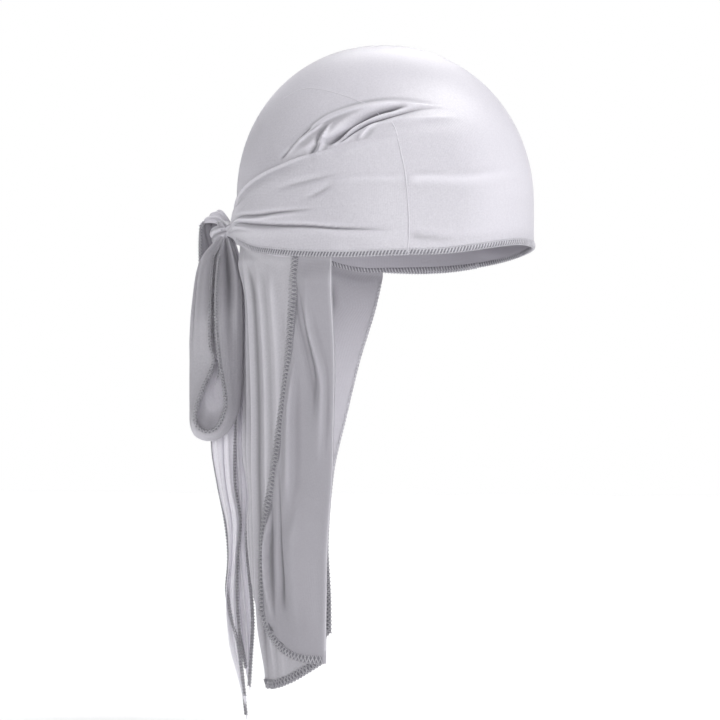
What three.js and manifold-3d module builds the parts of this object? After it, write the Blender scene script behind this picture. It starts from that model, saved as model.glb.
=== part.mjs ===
// A silky durag in the shape it has when it is tied on a head.
// The crown is a thin shell open at the bottom. A wide strap comes off each side of it, is
// drawn round to the back and ends in a knot. Two bow loops and two strap ends hang from the
// knot, and the nape flap hangs from the back of the crown with its near edge turned back.
// Millimetres. +Z is up, +X is the wearer's front and -Y the wearer's right.
// The origin is the inside of the crown's top, where the head bears.
import * as THREE from "three";
import Module from "manifold-3d";

const wasm = await Module();
wasm.setup();

// Driving sizes of the crown
const headLength = 196; // hollow, front to back
const headWidth = 158; // hollow, side to side
const domeHeight = 101; // from the top of the hollow down to where its wall turns straight
const crownDepth = 142; // from the top of the hollow down to the rim at the sides
const domeFullness = 2.05; // power of the dome's side outline, 2 is an ellipse
const eggShape = 0.06; // how much narrower the front half is than the back half
const crownLean = 3; // how far the top leans back of the middle
const browRise = 9; // how far the rim is higher over the brow than at the sides
const browRight = 62; // angles from the front at which that rise has run out
const browLeft = 84;
const napeRise = 20; // how far the crown's seam to the flap climbs at the back
const cloth = 1.2; // wall of every piece of cloth
const hemBead = 0.8; // how proud the sewn rim stands

// Clearances
const layGap = 0.5; // between one layer of cloth and the layer it lies on
const seamGap = 0.9; // between the crown's rim and the flap that hangs from it
const knotGap = 0.35; // round the knot, where straps, loops and ends go into it

// Folds
const foldHeight = 6.5; // the tallest fold on the side of the crown
const foldWidth = 10; // what the widths of the folds are shares of
const strapFold = 2.4; // the tallest gather on a strap
const flapFold = 2.6; // the tallest upright fold of the flap

// Knot, loops and strap ends
const knotLength = 19; // away from the head
const knotWidth = 23; // side to side
const knotHeight = 20;
const knotStandOff = 4; // free space between the crown and the knot
const loopDrop = 137; // from the knot's middle to the bottom of a loop
const loopSpread = 15; // what the loops' outward measures are shares of
const loopNear = 12; // from the knot's middle plane to the inner edge of a loop
const loopFar = 36; // from the knot's middle plane to the outer edge of a loop
const endDrop = 324; // from the knot's middle to the tip of the longer strap end
const shortEndShare = 0.943; // length of the shorter strap end beside the longer one
const endPlane = 3.6; // from the knot's middle plane to the middle of a strap end
const bowTurn = THREE.MathUtils.degToRad(20); // the bow's plane, turned from the front-back line

// Nape flap
const flapLength = 278; // from the crown's rim at the sides to the flap's lowest edge
const turnBack = 2.2; // free space inside the turned-back edge of the flap

// Where the knot sits on the crown, as a share of the crown's depth
const knotShare = 0.836;

// Side folds of the crown. Each one runs through three places, given as an angle round the
// head from the front and a share of the crown's depth. Height is a share of foldHeight, the
// widths above and below its line are shares of foldWidth.
const crownFolds = [
  { name: "top roll", a: [117, 90, 42], s: [0.6, 0.385, 0.37], height: 1, above: 0.8, below: 0.5 },
  { name: "soft roll under it", a: [96, 80, 54], s: [0.52, 0.43, 0.4], height: 0.34, above: 0.6, below: 0.8 },
  { name: "upright pleat", a: [99, 96.5, 94.5], s: [0.545, 0.484, 0.425], height: 0.42, above: 0.4, below: 0.4 },
  { name: "rear pleat", a: [107, 101, 96], s: [0.49, 0.465, 0.42], height: 0.3, above: 0.35, below: 0.35 },
  { name: "front pleat", a: [92, 87, 82.5], s: [0.5, 0.43, 0.365], height: 0.25, above: 0.4, below: 0.4 },
  { name: "strap line", a: [88, 63, 38], s: [0.505, 0.472, 0.45], height: 0.24, above: 0.4, below: 0.4 },
  { name: "temple band", a: [100, 60, 8], s: [0.69, 0.675, 0.6], height: 0.16, above: 0.7, below: 0.7 },
  { name: "low crease", a: [84, 60, 23], s: [0.895, 0.925, 0.9], height: -0.12, above: 0.5, below: 0.5 },
];

// The strap along the side of the head: its top edge and its hem as shares of the crown's
// depth, and how far it stands off the crown, as a share of the way to the knot's middle.
const strapLine = [
  { angle: 66, top: 0.478, hem: 1.009, off: 0 },
  { angle: 84, top: 0.5, hem: 1.009, off: 0 },
  { angle: 96, top: 0.535, hem: 1.006, off: 0 },
  { angle: 108, top: 0.565, hem: 0.997, off: 0 },
  { angle: 122, top: 0.605, hem: 0.978, off: 0 },
  { angle: 132, top: 0.637, hem: 0.96, off: 0 },
  { angle: 142, top: 0.674, hem: 0.931, off: 0 },
  { angle: 152, top: 0.72, hem: 0.91, off: 0 },
  { angle: 160, top: 0.762, hem: 0.888, off: 0.03 },
  { angle: 168, top: 0.8, hem: 0.869, off: 0.24 },
  { angle: 174, top: 0.815, hem: 0.856, off: 0.6 },
  { angle: 178, top: 0.822, hem: 0.849, off: 0.92 },
];

// Gathers of a strap. Their places run from 0 at the hem to 1 at the top edge, at the seam and
// at the knot. Start and end are angles round the head, between which a gather swells.
const strapFolds = [
  { seam: 0.985, knot: 0.97, start: 70, full: 110, height: 0.7, width: 0.05 },
  { seam: 0.8, knot: 0.8, start: 104, full: 150, height: 0.55, width: 0.09 },
  { seam: 0.6, knot: 0.6, start: 112, full: 150, height: 0.6, width: 0.09 },
  { seam: 0.36, knot: 0.45, start: 84, full: 140, height: 0.5, width: 0.1 },
  { seam: 0.14, knot: 0.25, start: 84, full: 140, height: 0.6, width: 0.1 },
];

// Bow loops. Each row is a place on the way from the knot round the loop and back. The outer
// edge of the ribbon is at edge and edgeDrop and the middle of its swelling at swell and
// swellDrop, outwards in shares of loopSpread and downwards in shares of loopDrop. Tilt is how
// much lower the inner edge hangs than the swelling, in shares of loopDrop.
const rightLoop = [
  { way: 0, edge: 0, edgeDrop: 0, swell: 0, swellDrop: 0, tilt: 0 },
  { way: 0.05, edge: -0.25, edgeDrop: 0.07, swell: -0.55, swellDrop: 0.07, tilt: 0 },
  { way: 0.1, edge: -0.48, edgeDrop: 0.13, swell: -0.98, swellDrop: 0.15, tilt: 0 },
  { way: 0.2, edge: -0.42, edgeDrop: 0.34, swell: -1.22, swellDrop: 0.34, tilt: 0 },
  { way: 0.3, edge: -0.36, edgeDrop: 0.55, swell: -1.44, swellDrop: 0.53, tilt: 0 },
  { way: 0.37, edge: -0.44, edgeDrop: 0.66, swell: -1.42, swellDrop: 0.7, tilt: 0 },
  { way: 0.43, edge: -0.84, edgeDrop: 0.79, swell: -1.36, swellDrop: 0.86, tilt: 0 },
  { way: 0.47, edge: -1.03, edgeDrop: 0.92, swell: -1.08, swellDrop: 0.955, tilt: 0 },
  { way: 0.5, edge: -0.56, edgeDrop: 0.975, swell: -0.4, swellDrop: 0.995, tilt: 0 },
  { way: 0.54, edge: 0.02, edgeDrop: 0.93, swell: 0.3, swellDrop: 0.955, tilt: 0 },
  { way: 0.58, edge: 0.16, edgeDrop: 0.82, swell: 0.77, swellDrop: 0.86, tilt: 0 },
  { way: 0.64, edge: -0.02, edgeDrop: 0.68, swell: 0.9, swellDrop: 0.7, tilt: 0 },
  { way: 0.72, edge: -0.15, edgeDrop: 0.5, swell: 0.93, swellDrop: 0.48, tilt: 0 },
  { way: 0.84, edge: -0.18, edgeDrop: 0.25, swell: 0.8, swellDrop: 0.25, tilt: 0 },
  { way: 0.93, edge: -0.1, edgeDrop: 0.1, swell: 0.4, swellDrop: 0.1, tilt: 0 },
  { way: 1, edge: 0, edgeDrop: 0, swell: 0, swellDrop: 0, tilt: 0 },
];
const leftLoop = [
  { way: 0, edge: 0, edgeDrop: 0, swell: 0, swellDrop: -0.02, tilt: 0 },
  { way: 0.045, edge: -0.3, edgeDrop: -0.125, swell: -0.3, swellDrop: -0.125, tilt: 0.04 },
  { way: 0.085, edge: -1.0, edgeDrop: -0.115, swell: -1.1, swellDrop: -0.1, tilt: 0.04 },
  { way: 0.12, edge: -1.3, edgeDrop: -0.02, swell: -1.42, swellDrop: -0.02, tilt: 0.02 },
  { way: 0.2, edge: -0.9, edgeDrop: 0.25, swell: -1.24, swellDrop: 0.24, tilt: 0 },
  { way: 0.33, edge: -0.66, edgeDrop: 0.56, swell: -1.3, swellDrop: 0.55, tilt: 0 },
  { way: 0.43, edge: -0.84, edgeDrop: 0.79, swell: -1.2, swellDrop: 0.84, tilt: 0 },
  { way: 0.5, edge: -0.4, edgeDrop: 0.93, swell: -0.4, swellDrop: 0.97, tilt: 0 },
  { way: 0.57, edge: 0.1, edgeDrop: 0.82, swell: 0.56, swellDrop: 0.84, tilt: 0 },
  { way: 0.66, edge: 0.0, edgeDrop: 0.62, swell: 0.7, swellDrop: 0.62, tilt: 0 },
  { way: 0.8, edge: -0.1, edgeDrop: 0.34, swell: 0.7, swellDrop: 0.34, tilt: 0 },
  { way: 0.92, edge: -0.06, edgeDrop: 0.12, swell: 0.4, swellDrop: 0.12, tilt: 0 },
  { way: 1, edge: 0, edgeDrop: 0, swell: 0, swellDrop: 0.02, tilt: 0 },
];

// Strap ends, from the knot to the tip: the middle of the folded ribbon outwards and half its
// breadth in shares of loopSpread, how deep its fold is in shares of endPlane.
const rightEnd = [
  { drop: 0, out: 0.1, half: 0.16, fold: 0.1 },
  { drop: 0.06, out: 0.12, half: 0.26, fold: 0.4 },
  { drop: 0.2, out: 0.1, half: 0.42, fold: 0.6 },
  { drop: 0.43, out: 0.0, half: 0.64, fold: 0.7 },
  { drop: 0.53, out: 0.24, half: 0.52, fold: 0.75 },
  { drop: 0.64, out: 0.44, half: 0.48, fold: 0.75 },
  { drop: 0.74, out: 0.4, half: 0.56, fold: 0.75 },
  { drop: 0.84, out: 0.42, half: 0.48, fold: 0.7 },
  { drop: 0.94, out: 0.62, half: 0.34, fold: 0.5 },
  { drop: 1, out: 0.8, half: 0.12, fold: 0.15 },
];
const leftEnd = [
  { drop: 0, out: 0.1, half: 0.16, fold: 0.1 },
  { drop: 0.06, out: 0.14, half: 0.26, fold: 0.4 },
  { drop: 0.2, out: 0.1, half: 0.38, fold: 0.6 },
  { drop: 0.44, out: 0.32, half: 0.44, fold: 0.7 },
  { drop: 0.6, out: 0.74, half: 0.36, fold: 0.75 },
  { drop: 0.78, out: 0.84, half: 0.36, fold: 0.75 },
  { drop: 0.9, out: 0.86, half: 0.3, fold: 0.6 },
  { drop: 1, out: 0.98, half: 0.1, fold: 0.15 },
];

// The flap's plan outline from the rim down. It is an egg like the head's: its middle and its
// reach to the back in shares of half the head's length, half its width in shares of half the
// head's width. Near and far are the angles of its two front edges, turned the angle that the
// turned-back edge reaches.
const flapPlan = [
  { drop: 0, middle: 0, reach: 0.975, width: 1, near: 94.5, far: 253, turned: 111 },
  { drop: 0.05, middle: -0.01, reach: 0.915, width: 0.975, near: 95, far: 251, turned: 112.5 },
  { drop: 0.1, middle: -0.02, reach: 0.89, width: 0.94, near: 95, far: 249.5, turned: 113.5 },
  { drop: 0.23, middle: -0.12, reach: 0.8, width: 0.79, near: 90.5, far: 249, turned: 114 },
  { drop: 0.375, middle: -0.245, reach: 0.69, width: 0.635, near: 85, far: 251, turned: 116 },
  { drop: 0.49, middle: -0.325, reach: 0.63, width: 0.535, near: 81, far: 252, turned: 120 },
  { drop: 0.66, middle: -0.39, reach: 0.55, width: 0.43, near: 80, far: 255, turned: 134 },
  { drop: 0.8, middle: -0.41, reach: 0.515, width: 0.37, near: 80, far: 260, turned: 138 },
  { drop: 1, middle: -0.42, reach: 0.45, width: 0.32, near: 80, far: 262, turned: 140 },
];

// Upright folds of the flap: the angle at the rim and at the bottom, height in shares of
// flapFold, width in degrees.
const flapFolds = [
  { rim: 125, foot: 122, height: 0.6, width: 3 },
  { rim: 133, foot: 133, height: 0.9, width: 3.2 },
  { rim: 143, foot: 154, height: 1, width: 3.6 },
  { rim: 156, foot: 166, height: 0.7, width: 4 },
  { rim: 170, foot: 178, height: 0.8, width: 4.5 },
  { rim: 186, foot: 190, height: 0.8, width: 4.5 },
  { rim: 202, foot: 204, height: 1, width: 4.5 },
  { rim: 217, foot: 218, height: 0.9, width: 4 },
  { rim: 232, foot: 234, height: 0.8, width: 4 },
];
const flapFoldLevel = 28; // how far below the strap's hem the flap's folds reach full height
const nearFoot = 0.932; // where the bottom edge meets the near fold, in shares of flapLength
const cornerRise = 0.11; // how much higher the free corner of the turned-back edge ends
const napeDip = 0.066; // how much lower its lowest place hangs
const dipPlace = 0.3; // where that is, from 0 at the near fold to 1 at the far edge
const farRise = 0.005; // how much higher the bottom edge ends at the far edge

// Colours of the satin, dyed in one lot
const satin = { color: 0xc9c6d0, roughness: 0.42, metalness: 0 };

const { degToRad, lerp, smoothstep } = THREE.MathUtils;

// Value of a column of a table at a place on its key, on a smooth curve through the rows.
function follow(rows, key, column, at) {
  const last = rows.length - 1;
  if (at <= rows[0][key]) return rows[0][column];
  if (at >= rows[last][key]) return rows[last][column];
  const i = rows.findIndex((row) => row[key] > at) - 1;
  const slope = (k) => {
    const before = rows[Math.max(k - 1, 0)];
    const after = rows[Math.min(k + 1, last)];
    return (after[column] - before[column]) / (after[key] - before[key]);
  };
  const span = rows[i + 1][key] - rows[i][key];
  const t = (at - rows[i][key]) / span;
  return (
    rows[i][column] * (1 + 2 * t) * (1 - t) ** 2 +
    slope(i) * span * t * (1 - t) ** 2 +
    rows[i + 1][column] * t * t * (3 - 2 * t) -
    slope(i + 1) * span * t * t * (1 - t)
  );
}

// Place on the head-shaped surface that lies a distance outside the hollow. The angle is in
// degrees from the front, positive towards the wearer's right.
function headPoint(angle, z, outside) {
  const fall = Math.min(1, Math.max(0, (z + domeHeight) / (domeHeight + outside)));
  const round = (1 - fall ** domeFullness) ** (1 / domeFullness);
  const turn = degToRad(angle);
  const along = Math.cos(turn);
  return new THREE.Vector3(
    (headLength / 2 + outside) * round * along - crownLean * fall,
    -(headWidth / 2 + outside) * round * Math.sin(turn) * (1 - eggShape * along),
    z,
  );
}

// Direction out of the head at a place on it. Every fold rises along it.
function headNormal(angle, z) {
  const turn = degToRad(angle);
  const fall = Math.max(0, (z + domeHeight) / domeHeight);
  const level = Math.sqrt(Math.max(0, 1 - fall * fall));
  return new THREE.Vector3(
    (level * Math.cos(turn)) / (headLength / 2),
    (-level * Math.sin(turn)) / (headWidth / 2),
    fall / domeHeight,
  ).normalize();
}

// Three places of a fold joined by a curve, as points on the head with their shares of depth.
function foldPath(fold) {
  const steps = 14;
  const bend = (p, t) => {
    const pull = 2 * p[1] - (p[0] + p[2]) / 2;
    return p[0] * (1 - t) ** 2 + 2 * pull * t * (1 - t) + p[2] * t * t;
  };
  return Array.from({ length: steps + 1 }, (_, k) => {
    const share = bend(fold.s, k / steps);
    return { t: k / steps, share, point: headPoint(bend(fold.a, k / steps), -share * crownDepth, 0) };
  });
}
const foldPaths = crownFolds.map((fold) => ({ ...fold, path: foldPath(fold) }));

// How far the folds lift the cloth off the head at a place. Both sides of the head are alike.
function crownRise(angle, z) {
  const here = headPoint(Math.abs(angle), z, 0);
  const share = -z / crownDepth;
  let rise = 0;
  for (const fold of foldPaths) {
    let nearest = fold.path[0];
    let distance = Infinity;
    for (const step of fold.path) {
      const away = here.distanceTo(step.point);
      if (away < distance) [nearest, distance] = [step, away];
    }
    const width = foldWidth * (share < nearest.share ? fold.above : fold.below);
    const taper = smoothstep(nearest.t, -0.01, 0.3) * (1 - smoothstep(nearest.t, 0.6, 1.01));
    rise += foldHeight * fold.height * taper * Math.exp(-((distance / width) ** 2));
  }
  return rise;
}

// Height of the crown's lower edge: higher over the brow, and climbing at the back, where the
// crown is sewn to the flap under the straps.
function rimHeight(angle) {
  const from = Math.min(Math.abs(angle), 360 - Math.abs(angle));
  const brow = browRise * (1 - smoothstep(from, 8, angle < 0 ? browLeft : browRight));
  const nape = napeRise * smoothstep(from, 112, 165);
  return -crownDepth + brow + nape;
}

// Gathers faces between points. Points that fall together become one.
function surface() {
  const places = [];
  const faces = [];
  const known = new Map();
  const id = (p) => {
    const key = [p.x, p.y, p.z].map((v) => Math.round(v * 1e4)).join(" ");
    if (!known.has(key)) {
      known.set(key, places.length / 3);
      places.push(p.x, p.y, p.z);
    }
    return known.get(key);
  };
  const face = (a, b, c) => {
    const [i, j, k] = [id(a), id(b), id(c)];
    if (i !== j && j !== k && k !== i) faces.push(i, j, k);
  };
  const quad = (a, b, c, d) => {
    face(a, b, c);
    face(a, c, d);
  };
  return { face, quad, geometry: () => facingOut(places, faces) };
}

// A closed wall between two grids of points of the same size. Grids are rows of columns.
function closedSheet(outer, inner, wrap) {
  const { quad, geometry } = surface();
  const rows = outer.length;
  const columns = outer[0].length;
  const spans = wrap ? columns : columns - 1;
  for (let r = 0; r < rows - 1; r++) {
    for (let c = 0; c < spans; c++) {
      const n = (c + 1) % columns;
      quad(outer[r][c], outer[r + 1][c], outer[r + 1][n], outer[r][n]);
      quad(inner[r][c], inner[r][n], inner[r + 1][n], inner[r + 1][c]);
    }
  }
  for (let c = 0; c < spans; c++) {
    const n = (c + 1) % columns;
    const bottom = rows - 1;
    quad(outer[bottom][c], inner[bottom][c], inner[bottom][n], outer[bottom][n]);
    quad(outer[0][c], outer[0][n], inner[0][n], inner[0][c]);
  }
  if (!wrap) {
    const end = columns - 1;
    for (let r = 0; r < rows - 1; r++) {
      quad(outer[r][0], inner[r][0], inner[r + 1][0], outer[r + 1][0]);
      quad(outer[r][end], outer[r + 1][end], inner[r + 1][end], inner[r][end]);
    }
  }
  return geometry();
}

// A geometry from points and faces, with the faces turned to point outwards.
function facingOut(places, faces) {
  let volume = 0;
  const corner = (k) => new THREE.Vector3().fromArray(places, 3 * faces[k]);
  for (let k = 0; k < faces.length; k += 3) {
    volume += corner(k).dot(corner(k + 1).cross(corner(k + 2)));
  }
  if (volume < 0) {
    for (let k = 0; k < faces.length; k += 3) [faces[k], faces[k + 1]] = [faces[k + 1], faces[k]];
  }
  const geometry = new THREE.BufferGeometry();
  geometry.setAttribute("position", new THREE.Float32BufferAttribute(places, 3));
  geometry.setIndex(faces);
  return geometry;
}

// A ribbon or flap of cloth around a grid of points on its middle surface.
function clothSheet(middle) {
  const rows = middle.length;
  const columns = middle[0].length;
  const normalAt = (r, c) => {
    const up = middle[Math.max(r - 1, 0)][c];
    const down = middle[Math.min(r + 1, rows - 1)][c];
    const left = middle[r][Math.max(c - 1, 0)];
    const right = middle[r][Math.min(c + 1, columns - 1)];
    const run = new THREE.Vector3().subVectors(down, up);
    const across = new THREE.Vector3().subVectors(right, left);
    return run.cross(across).normalize();
  };
  const shifted = (by) =>
    middle.map((row, r) => row.map((p, c) => p.clone().addScaledVector(normalAt(r, c), by)));
  return closedSheet(shifted(cloth / 2), shifted(-cloth / 2), false);
}

function solidOf(geometry) {
  const triVerts = new Uint32Array(geometry.index.array);
  const vertProperties = new Float32Array(geometry.attributes.position.array);
  return new wasm.Manifold(new wasm.Mesh({ numProp: 3, vertProperties, triVerts }));
}

function geometryOf(solid) {
  const mesh = solid.getMesh();
  const geometry = new THREE.BufferGeometry();
  geometry.setAttribute("position", new THREE.BufferAttribute(mesh.vertProperties, 3));
  geometry.setIndex(new THREE.BufferAttribute(mesh.triVerts, 1));
  return geometry;
}

const durag = new THREE.Group();
function addPiece(name, geometry) {
  const mesh = new THREE.Mesh(geometry, new THREE.MeshStandardMaterial(satin));
  mesh.name = name;
  durag.add(mesh);
}

// Evenly spaced values from one end to the other, both included.
const spaced = (from, to, count) =>
  Array.from({ length: count }, (_, k) => lerp(from, to, k / (count - 1)));

// Crown: angles are closer together where the side folds are.
function crown() {
  const side = spaced(42, 126, 15);
  const front = spaced(-32, 32, 6);
  const back = spaced(135, 225, 11);
  const angles = [...front, ...side, ...back, ...side.map((a) => 360 - a).reverse()].map((a) =>
    a > 180 ? a - 360 : a,
  );
  // Shares of the depth of the rows, closer together where the side folds are.
  const shares = [0, 0.04, 0.12, 0.21, ...spaced(0.29, 0.57, 9), 0.64, 0.72, 0.82, 0.92, 1];
  const skin = (outside) =>
    shares.map((share) =>
      angles.map((angle) => {
        const top = outside;
        const z = lerp(top, rimHeight(angle), share);
        const hem = share === 1 && outside > 0 ? hemBead * (1 - smoothstep(Math.abs(angle), 50, 64)) : 0;
        const lift = crownRise(angle, z) * smoothstep(share, 0.1, 0.3) + hem;
        return headPoint(angle, z, outside).addScaledVector(headNormal(angle, z), lift);
      }),
    );
  return closedSheet(skin(cloth), skin(0), true);
}

// Knot: a lump of wound cloth with two ridges that cross its face.
const knotMiddle = new THREE.Vector3(
  -(headLength / 2 + cloth + knotStandOff + knotLength / 2),
  0,
  -knotShare * crownDepth,
);
const knotSize = new THREE.Vector3(knotLength, knotWidth, knotHeight);
function knot(grow) {
  const { quad, geometry } = surface();
  const place = (turn, rise) => {
    const p = new THREE.Vector3(
      Math.cos(rise) * Math.cos(turn),
      Math.cos(rise) * Math.sin(turn),
      Math.sin(rise),
    );
    const wound = Math.cos(rise) * Math.cos(2 * turn + 3.2 * p.z);
    const swell = 1 + 0.07 * wound - 0.05 * Math.cos(5 * p.z);
    const size = knotSize.clone().multiplyScalar(swell / 2).addScalar(grow);
    return p.multiply(size).add(knotMiddle);
  };
  const turns = spaced(0, 2 * Math.PI, 21).slice(0, -1);
  const rises = spaced(-Math.PI / 2, Math.PI / 2, 12);
  const grid = rises.map((rise) => turns.map((turn) => place(turn, rise)));
  for (let r = 0; r < rises.length - 1; r++) {
    for (let c = 0; c < turns.length; c++) {
      const n = (c + 1) % turns.length;
      quad(grid[r][c], grid[r][n], grid[r + 1][n], grid[r + 1][c]);
    }
  }
  return geometry();
}
const roundKnot = solidOf(knot(knotGap));
const outsideKnot = (geometry) => geometryOf(solidOf(geometry).subtract(roundKnot));

// Strap: lies on the crown from the side seam to the back and gathers into the knot.
function strap(side) {
  const angles = [...spaced(66, 126, 11), ...spaced(130.5, 175.5, 11), 178];
  const across = spaced(0, 1, 12);
  const layer = (outside) =>
    across.map((place) =>
      angles.map((angle) => {
        const top = follow(strapLine, "angle", "top", angle);
        const hem = follow(strapLine, "angle", "hem", angle);
        const z = -crownDepth * lerp(hem, top, place);
        let gather = 0;
        for (const fold of strapFolds) {
          const middle = lerp(fold.seam, fold.knot, smoothstep(angle, 84, 168));
          const swell = smoothstep(angle, fold.start, fold.full);
          gather += fold.height * swell * Math.exp(-(((place - middle) / fold.width) ** 2));
        }
        const flatter = 1 - 0.5 * smoothstep(angle, 162, 178);
        const off = follow(strapLine, "angle", "off", angle) * (knotStandOff + knotLength / 2);
        const lift = crownRise(angle, z) + strapFold * gather * flatter + off;
        const p = headPoint(angle, z, outside).addScaledVector(headNormal(angle, z), lift);
        p.y *= side;
        return p;
      }),
    );
  const under = cloth + layGap;
  return outsideKnot(closedSheet(layer(under + cloth), layer(under), false));
}

// Place beside the knot: out is along the bow's plane away from the head when negative,
// beside is across that plane.
function bowPoint(out, beside, drop) {
  return new THREE.Vector3(
    knotMiddle.x + out * Math.cos(bowTurn) - beside * Math.sin(bowTurn),
    knotMiddle.y + out * Math.sin(bowTurn) + beside * Math.cos(bowTurn),
    knotMiddle.z - drop,
  );
}

// Bow loop: a ribbon from the knot down, round and back to the knot, bulging between its edges.
function loop(rows, side) {
  const ways = [0, ...rows.slice(1).flatMap((row, k) => [(row.way + rows[k].way) / 2, row.way])];
  const across = spaced(0, 1, 7);
  return outsideKnot(
    clothSheet(
      ways.map((way) =>
        across.map((place) => {
          const at = (column) => follow(rows, "way", column, way);
          const bowed = (edge, swell, back) =>
            edge * (1 - place) * (1 - 2 * place) + 4 * swell * place * (1 - place) + back * place * (2 * place - 1);
          const out = bowed(at("edge"), at("swell"), lerp(at("edge"), at("swell"), 0.4));
          const drop = bowed(at("edgeDrop"), at("swellDrop"), at("swellDrop") + at("tilt"));
          const open = smoothstep(Math.min(way, 1 - way), 0.02, 0.26);
          const outer = lerp(0.26, 1, open) * loopFar;
          const inner = lerp(0.42, 1, open) * loopNear;
          return bowPoint(out * loopSpread, side * lerp(outer, inner, place), drop * loopDrop);
        }),
      ),
    ),
  );
}

// Strap end: a ribbon folded lengthwise into a gutter, which hangs from the knot.
function strapEnd(rows, side, length) {
  const drops = spaced(0, 1, 16);
  const across = spaced(-1, 1, 7);
  return outsideKnot(
    clothSheet(
      drops.map((drop) =>
        across.map((place) => {
          const at = (column) => follow(rows, "drop", column, drop);
          const bend = at("fold") * endPlane * (place * place - 0.5) * -1;
          const beside = endPlane * lerp(0.55, 1, smoothstep(drop, 0, 0.1)) + bend * 0.8;
          const slant = 0.02 * (1 - place) * smoothstep(drop, 0.8, 1);
          const out = (at("out") + at("half") * place) * loopSpread;
          return bowPoint(out, side * beside, (drop - slant) * length);
        }),
      ),
    ),
  );
}

// Place on the flap's plan at an angle round it, a level below the side rim and a distance
// outside its middle surface.
function flapPoint(angle, z, outside) {
  const drop = (-z - crownDepth) / flapLength;
  const at = (column) => follow(flapPlan, "drop", column, drop);
  const turn = degToRad(angle);
  const along = Math.cos(turn);
  const reach = (at("reach") * headLength) / 2 + cloth / 2 + outside;
  const half = (at("width") * headWidth) / 2 + cloth / 2 + outside;
  return new THREE.Vector3(
    (at("middle") * headLength) / 2 + reach * along,
    -half * Math.sin(turn) * (1 - eggShape * along),
    z,
  );
}

// How far the upright folds push the flap out. They start below the strap's hem.
function flapRise(angle, z) {
  const drop = (-z - crownDepth) / flapLength;
  const from = Math.abs(angle > 180 ? 360 - angle : angle);
  const hem = -crownDepth * follow(strapLine, "angle", "hem", from) - layGap;
  const swell = smoothstep(hem - z, 1, flapFoldLevel);
  let rise = 0;
  for (const fold of flapFolds) {
    const middle = lerp(fold.rim, fold.foot, drop);
    rise += fold.height * Math.exp(-(((angle - middle) / fold.width) ** 2));
  }
  return flapFold * swell * rise;
}

// Nape flap: from the free near edge forward to the fold, then back and round to the far edge.
function napeFlap() {
  const levels = [0, 0.04, 0.08, 0.13, ...spaced(0.2, 1, 10)];
  const outerLayer = cloth + turnBack;
  const columns = [];
  for (const f of spaced(0, 1, 6)) {
    const foot = nearFoot - cornerRise * (1 - f) ** 3;
    columns.push({ foot, place: (at, z) => flapPoint(lerp(at("turned"), at("near"), f), z, outerLayer) });
  }
  for (const bend of [0.25, 0.5, 0.75]) {
    const forward = (Math.sin(Math.PI * bend) * outerLayer) / 2;
    const outwards = (outerLayer * (1 + Math.cos(Math.PI * bend))) / 2;
    columns.push({
      foot: nearFoot,
      place: (at, z) => {
        const p = flapPoint(at("near"), z, outwards);
        const ahead = flapPoint(at("near") - 1, z, outwards).sub(p).setLength(forward);
        return p.add(ahead);
      },
    });
  }
  const hidden = spaced(0, 0.12, 3);
  const shown = spaced(0.15, 1, 37);
  for (const g of [...hidden, ...shown]) {
    const dip =
      Math.sin((Math.PI / 2) * Math.min(1, g / dipPlace)) * (1 - smoothstep(g, dipPlace, 2 * dipPlace));
    const foot = nearFoot + napeDip * dip - farRise * g;
    columns.push({
      foot,
      inner: true,
      angle: (at) => lerp(at("near"), at("far"), g),
      place: (at, z) => {
        const angle = lerp(at("near"), at("far"), g);
        return flapPoint(angle, z, flapRise(angle, z) * smoothstep(g, 0.12, 0.18));
      },
    });
  }
  const hemLine = -crownDepth * strapLine[0].hem - layGap;
  const grid = levels.map((level) =>
    columns.map((column) => {
      const foot = -crownDepth - column.foot * flapLength;
      const rim = (name) => flapPlan[0][name];
      const head = column.inner ? rimHeight(column.angle(rim)) - seamGap : hemLine;
      const z = lerp(head, foot, level);
      const at = (name) => follow(flapPlan, "drop", name, (-z - crownDepth) / flapLength);
      return column.place(at, z);
    }),
  );
  return clothSheet(grid);
}

addPiece("crown", crown());
addPiece("knot", knot(0));
addPiece("right_strap", strap(1));
addPiece("left_strap", strap(-1));
addPiece("right_loop", loop(rightLoop, -1));
addPiece("left_loop", loop(leftLoop, 1));
addPiece("right_end", strapEnd(rightEnd, -1, endDrop));
addPiece("left_end", strapEnd(leftEnd, 1, endDrop * shortEndShare));
addPiece("nape_flap", napeFlap());

export default durag;
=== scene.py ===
import math
from functools import partial

import bpy
import numpy as np
from bpy.props import FloatProperty, FloatVectorProperty, PointerProperty
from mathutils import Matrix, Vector


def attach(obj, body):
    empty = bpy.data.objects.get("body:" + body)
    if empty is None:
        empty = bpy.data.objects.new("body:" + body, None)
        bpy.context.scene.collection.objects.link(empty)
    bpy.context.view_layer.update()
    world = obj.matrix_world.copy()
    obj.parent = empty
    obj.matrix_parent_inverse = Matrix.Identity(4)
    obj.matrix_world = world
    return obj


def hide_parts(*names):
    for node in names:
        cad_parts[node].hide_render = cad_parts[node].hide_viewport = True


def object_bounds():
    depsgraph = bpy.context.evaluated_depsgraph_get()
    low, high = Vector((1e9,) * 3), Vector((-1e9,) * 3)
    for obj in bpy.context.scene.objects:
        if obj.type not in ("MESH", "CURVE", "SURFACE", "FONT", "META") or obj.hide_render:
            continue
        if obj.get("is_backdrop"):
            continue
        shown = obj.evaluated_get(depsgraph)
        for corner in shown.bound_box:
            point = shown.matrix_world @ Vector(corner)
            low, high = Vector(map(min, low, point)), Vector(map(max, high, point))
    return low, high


bl_info = {
    "name": "Durag",
    "version": (1, 0, 0),
    "blender": (4, 5, 0),
    "location": "View3D > Sidebar > Durag",
    "description": "A tied durag with its stitching, and the stage it is shown on",
    "category": "Add Mesh",
}

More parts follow.
